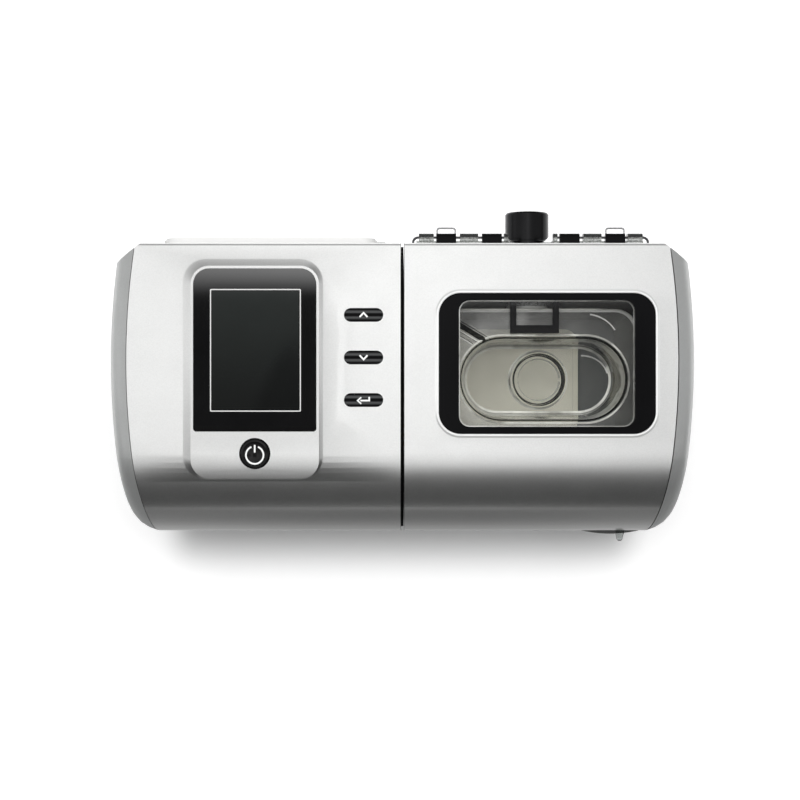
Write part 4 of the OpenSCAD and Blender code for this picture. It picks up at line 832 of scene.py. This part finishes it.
# distances from the middle between which the lift sets in, painting shade under the object, and how far that middle
# lies to the front
UNDER_X, UNDER_Y, UNDER_SHIFT = (0.125, 0.14), (0.06, 0.072), 0.006
# half the size of the painted shadow's core, how far it lies to the front, and how far the painted shadow spreads
# from it
CORE_X, CORE_Y, CORE_SHIFT, SHADOW_REACH = 0.115, 0.05, 0.036, 0.027


def seen(s):
    """1 for what the camera sees directly, in a reflection or through clear plastic, else 0."""
    path = s.node("LightPath")
    rays = s.math("ADD", path.outputs["Is Camera Ray"], path.outputs["Is Glossy Ray"])
    return s.math("MINIMUM", s.math("ADD", rays, path.outputs["Is Transmission Ray"]), 1.0)


def floor_material():
    """Pale floor that is lifted to white away from the object; under and near the object the lift is held back as a
    painted shadow over the real one.
    """
    s = Shader("floor_white")
    dull = s.node("BsdfDiffuse", Color=s.mix(s.noise(3.0, 3.0), (0.80, 0.80, 0.80), (0.82, 0.82, 0.82)))
    x = s.math("ABSOLUTE", s.axis("X"))
    y_under, y_core = (s.math("ABSOLUTE", s.math("ADD", s.axis("Y"), shift)) for shift in (UNDER_SHIFT, CORE_SHIFT))
    # painted shadow: no lift under the object, and the lift fades in over SHADOW_REACH from a box in front of it
    open_floor = s.math("MAXIMUM", s.ramp(x, *UNDER_X), s.ramp(y_under, *UNDER_Y))
    out_x = s.math("MAXIMUM", s.math("SUBTRACT", x, CORE_X), 0.0)
    out_y = s.math("MAXIMUM", s.math("SUBTRACT", y_core, CORE_Y), 0.0)
    away = s.math("SQRT", s.math("ADD", s.math("MULTIPLY", out_x, out_x), s.math("MULTIPLY", out_y, out_y)))
    open_floor = s.math("MULTIPLY", open_floor, s.ramp(away, 0.0, SHADOW_REACH, smooth=True))
    glow = s.node("Emission", Color=WHITE,
                  Strength=s.math("MULTIPLY", s.math("MULTIPLY", seen(s), open_floor), FLOOR_LIFT))
    both = s.node("AddShader")
    s.put(both.inputs[0], dull.outputs[0])
    s.put(both.inputs[1], glow.outputs[0])
    return s.finish(both.outputs[0])


floor = mesh_object("floor", [(x * FLOOR_HALF, y * FLOOR_HALF, 0) for x, y in ((-1, -1), (1, -1), (1, 1), (-1, 1))],
                    [(0, 1, 2, 3)], floor_material())

world = bpy.data.worlds.new("studio")
bpy.context.scene.world = world
studio = Shader(world)
dim, bright = (studio.node("Background", Color=level).outputs[0] for level in (GREY_FILL, WHITE))
studio.finish(studio.blend(seen(studio), dim, bright))

softbox_data = bpy.data.lights.new("softbox", "AREA")
softbox_data.shape = "RECTANGLE"
softbox_data.size, softbox_data.size_y = 1.8, 1.0
softbox_data.energy = 28.0
softbox = bpy.data.objects.new("softbox", softbox_data)
softbox.location = (0.0, 0.42, 1.6)
softbox.rotation_euler = (Vector((0.0, 0.1, 0.1)) - softbox.location).to_track_quat("-Z", "Y").to_euler()
softbox.visible_glossy = False
bpy.context.scene.collection.objects.link(softbox)

TOP_LEVEL = 4.0
TENT_RADIUS, TENT_FOOT, TENT_SWEEP, TENT_ROWS, TENT_COLUMNS = 3.0, 0.1, math.radians(91.8), 24, 48
# (degrees from straight up towards the front, level)
TENT_FRONT = ((-90, 0.30), (-70, 0.365), (-50, 0.44), (-36, 0.56), (-24, 0.73), (-16, 1.00), (-9, 1.46), (-4, 1.94),
              (1, 1.90), (4.5, 1.30), (5.2, 1.55), (6.0, 1.55), (6.6, 1.02), (8, 0.92), (11, 0.88), (14, 0.88),
              (18, 0.88), (23, 0.66), (28, 0.31), (34, 0.12), (41, 0.07), (50, 0.045), (62, 0.035), (80, 0.03),
              (87, 0.03), (88.5, 0.42), (90, 0.42))
# (degrees towards the right, share of that level)
TENT_SIDE = ((-90, 1.45), (-75, 1.4), (-60, 0.70), (-45, 0.54), (-32, 0.56), (-24, 0.62), (-18, 0.68), (-13, 0.76),
             (-9, 0.86), (-5, 0.96), (0, 1.06), (5, 1.06), (9, 0.93), (13, 0.70), (18, 0.51), (24, 0.43), (32, 0.42),
             (45, 0.44), (60, 0.54), (75, 0.68), (90, 0.68))
# dark openings over the display and over the window: front and side angles where they start and end, depth
TENT_HOLES = (((-6.5, -4.8, 2.6, 4.0), (-12.4, -10.6, -3.3, -1.9), 0.985),
              ((-5.3, -4.2, 2.2, 3.6), (1.4, 2.8, 12.6, 14.2), 0.93))
# dark cloth on the table: (root of the share of the way out, level), where it starts, how far it reaches, its
# height, and the distances to the side between which it gets lighter
FLAG_LEVELS = ((0.0, 0.58), (0.20, 0.36), (0.40, 0.13), (0.74, 0.06), (1.0, 0.05))
FLAG_FRONT, FLAG_HALF, FLAG_Z, FLAG_SIDES = -0.078, 3.0, 0.4 * MM, (0.05, 0.22)


def colour_ramp(s, factor, stops):
    """Grey levels read off stops (position from 0 to 1, level)."""
    ramp = s.node("ValToRGB", Fac=factor)
    elements = ramp.color_ramp.elements
    while len(elements) < len(stops):
        elements.new(0.5)
    for element, (at, level) in zip(elements, stops):
        element.position = at
        element.color = (level, level, level, 1.0)
    return ramp.outputs["Color"]


def level_ramp(s, angle, stops):
    """A level up to TOP_LEVEL, read off stops along an angle from -90 to 90."""
    shares = [((at + 90.0) / 180.0, level / TOP_LEVEL) for at, level in stops]
    grey = colour_ramp(s, s.ramp(angle, -90.0, 90.0), shares)
    return s.math("MULTIPLY", s.node("SeparateColor", Color=grey).outputs[0], TOP_LEVEL)


def tent_material():
    """Inside of the light tent, as reflections see it: bright above, a dark hole over the display and one over
    the window, dark towards the front, falling off to the sides."""
    s = Shader("studio_tent")
    x, y, z = s.axis("X"), s.axis("Y"), s.axis("Z")
    degrees = 180.0 / math.pi
    rise = s.math("SUBTRACT", z, TENT_FOOT)
    front = s.math("MULTIPLY", s.math("ARCTAN2", s.math("MULTIPLY", y, -1.0), rise), degrees)
    flat = s.math("SQRT", s.math("ADD", s.math("MULTIPLY", y, y), s.math("MULTIPLY", rise, rise)))
    side = s.math("MULTIPLY", s.math("ARCTAN2", x, flat), degrees)
    level = s.math("MULTIPLY", level_ramp(s, front, TENT_FRONT), level_ramp(s, side, TENT_SIDE))
    for front_edges, side_edges, depth in TENT_HOLES:
        gate = depth
        for angle, (a, b, c, d) in ((front, front_edges), (side, side_edges)):
            inside = s.math("MULTIPLY", s.ramp(angle, a, b, smooth=True), s.ramp(angle, c, d, 1.0, 0.0, smooth=True))
            gate = s.math("MULTIPLY", gate, inside)
        level = s.math("MULTIPLY", level, s.math("SUBTRACT", 1.0, gate))
    return s.finish(s.node("Emission", Color=WHITE, Strength=level).outputs[0])


def hide_but_in_gloss(obj):
    obj.visible_camera = False
    obj.visible_shadow = False
    obj.visible_diffuse = False
    obj.visible_transmission = False


def tent_dome():
    points = [(0.0, 0.0, TENT_FOOT + TENT_RADIUS)]
    for i in range(1, TENT_ROWS + 1):
        a = TENT_SWEEP * i / TENT_ROWS
        for k in range(TENT_COLUMNS):
            b = 2 * math.pi * k / TENT_COLUMNS
            points.append((TENT_RADIUS * math.sin(a) * math.cos(b), TENT_RADIUS * math.sin(a) * math.sin(b),
                           TENT_FOOT + TENT_RADIUS * math.cos(a)))
    faces = []
    for k in range(TENT_COLUMNS):
        n = (k + 1) % TENT_COLUMNS
        faces.append((0, 1 + k, 1 + n))
        for i in range(TENT_ROWS - 1):
            at = 1 + i * TENT_COLUMNS
            faces.append((at + k, at + TENT_COLUMNS + k, at + TENT_COLUMNS + n, at + n))
    return points, faces


hide_but_in_gloss(mesh_object("studio_tent", *tent_dome(), tent_material(), smooth=True))


def flag_material():
    """Dark cloth on the table in front, lighter close to the object and at its ends."""
    s = Shader("front_flag")
    away = s.math("MULTIPLY", s.math("SUBTRACT", s.axis("Y"), FLAG_FRONT), -1.0)
    level = colour_ramp(s, s.math("POWER", s.ramp(away, 0.0, FLAG_HALF), 0.33), FLAG_LEVELS)
    ends = s.ramp(s.math("ABSOLUTE", s.axis("X")), *FLAG_SIDES, 1.0, 1.45, smooth=True)
    return s.finish(s.node("Emission", Color=level, Strength=ends).outputs[0])


flag_corners = ((-FLAG_HALF, -FLAG_HALF), (FLAG_HALF, -FLAG_HALF), (FLAG_HALF, FLAG_FRONT), (-FLAG_HALF, FLAG_FRONT))
hide_but_in_gloss(mesh_object("front_flag", [(x, y, FLAG_Z) for x, y in flag_corners], [(0, 1, 2, 3)],
                              flag_material()))

# the camera that fits the photograph
camera_data = bpy.data.cameras.new("camera")
camera_data.lens = 64.5
camera_data.sensor_width = 36.0
camera = bpy.data.objects.new("camera", camera_data)
camera.location = (-0.0012, -0.0109, 0.808)
bpy.context.scene.collection.objects.link(camera)
bpy.context.scene.camera = camera

scene = bpy.context.scene
scene.view_settings.view_transform = "Standard"
scene.cycles.transparent_max_bounces = 32
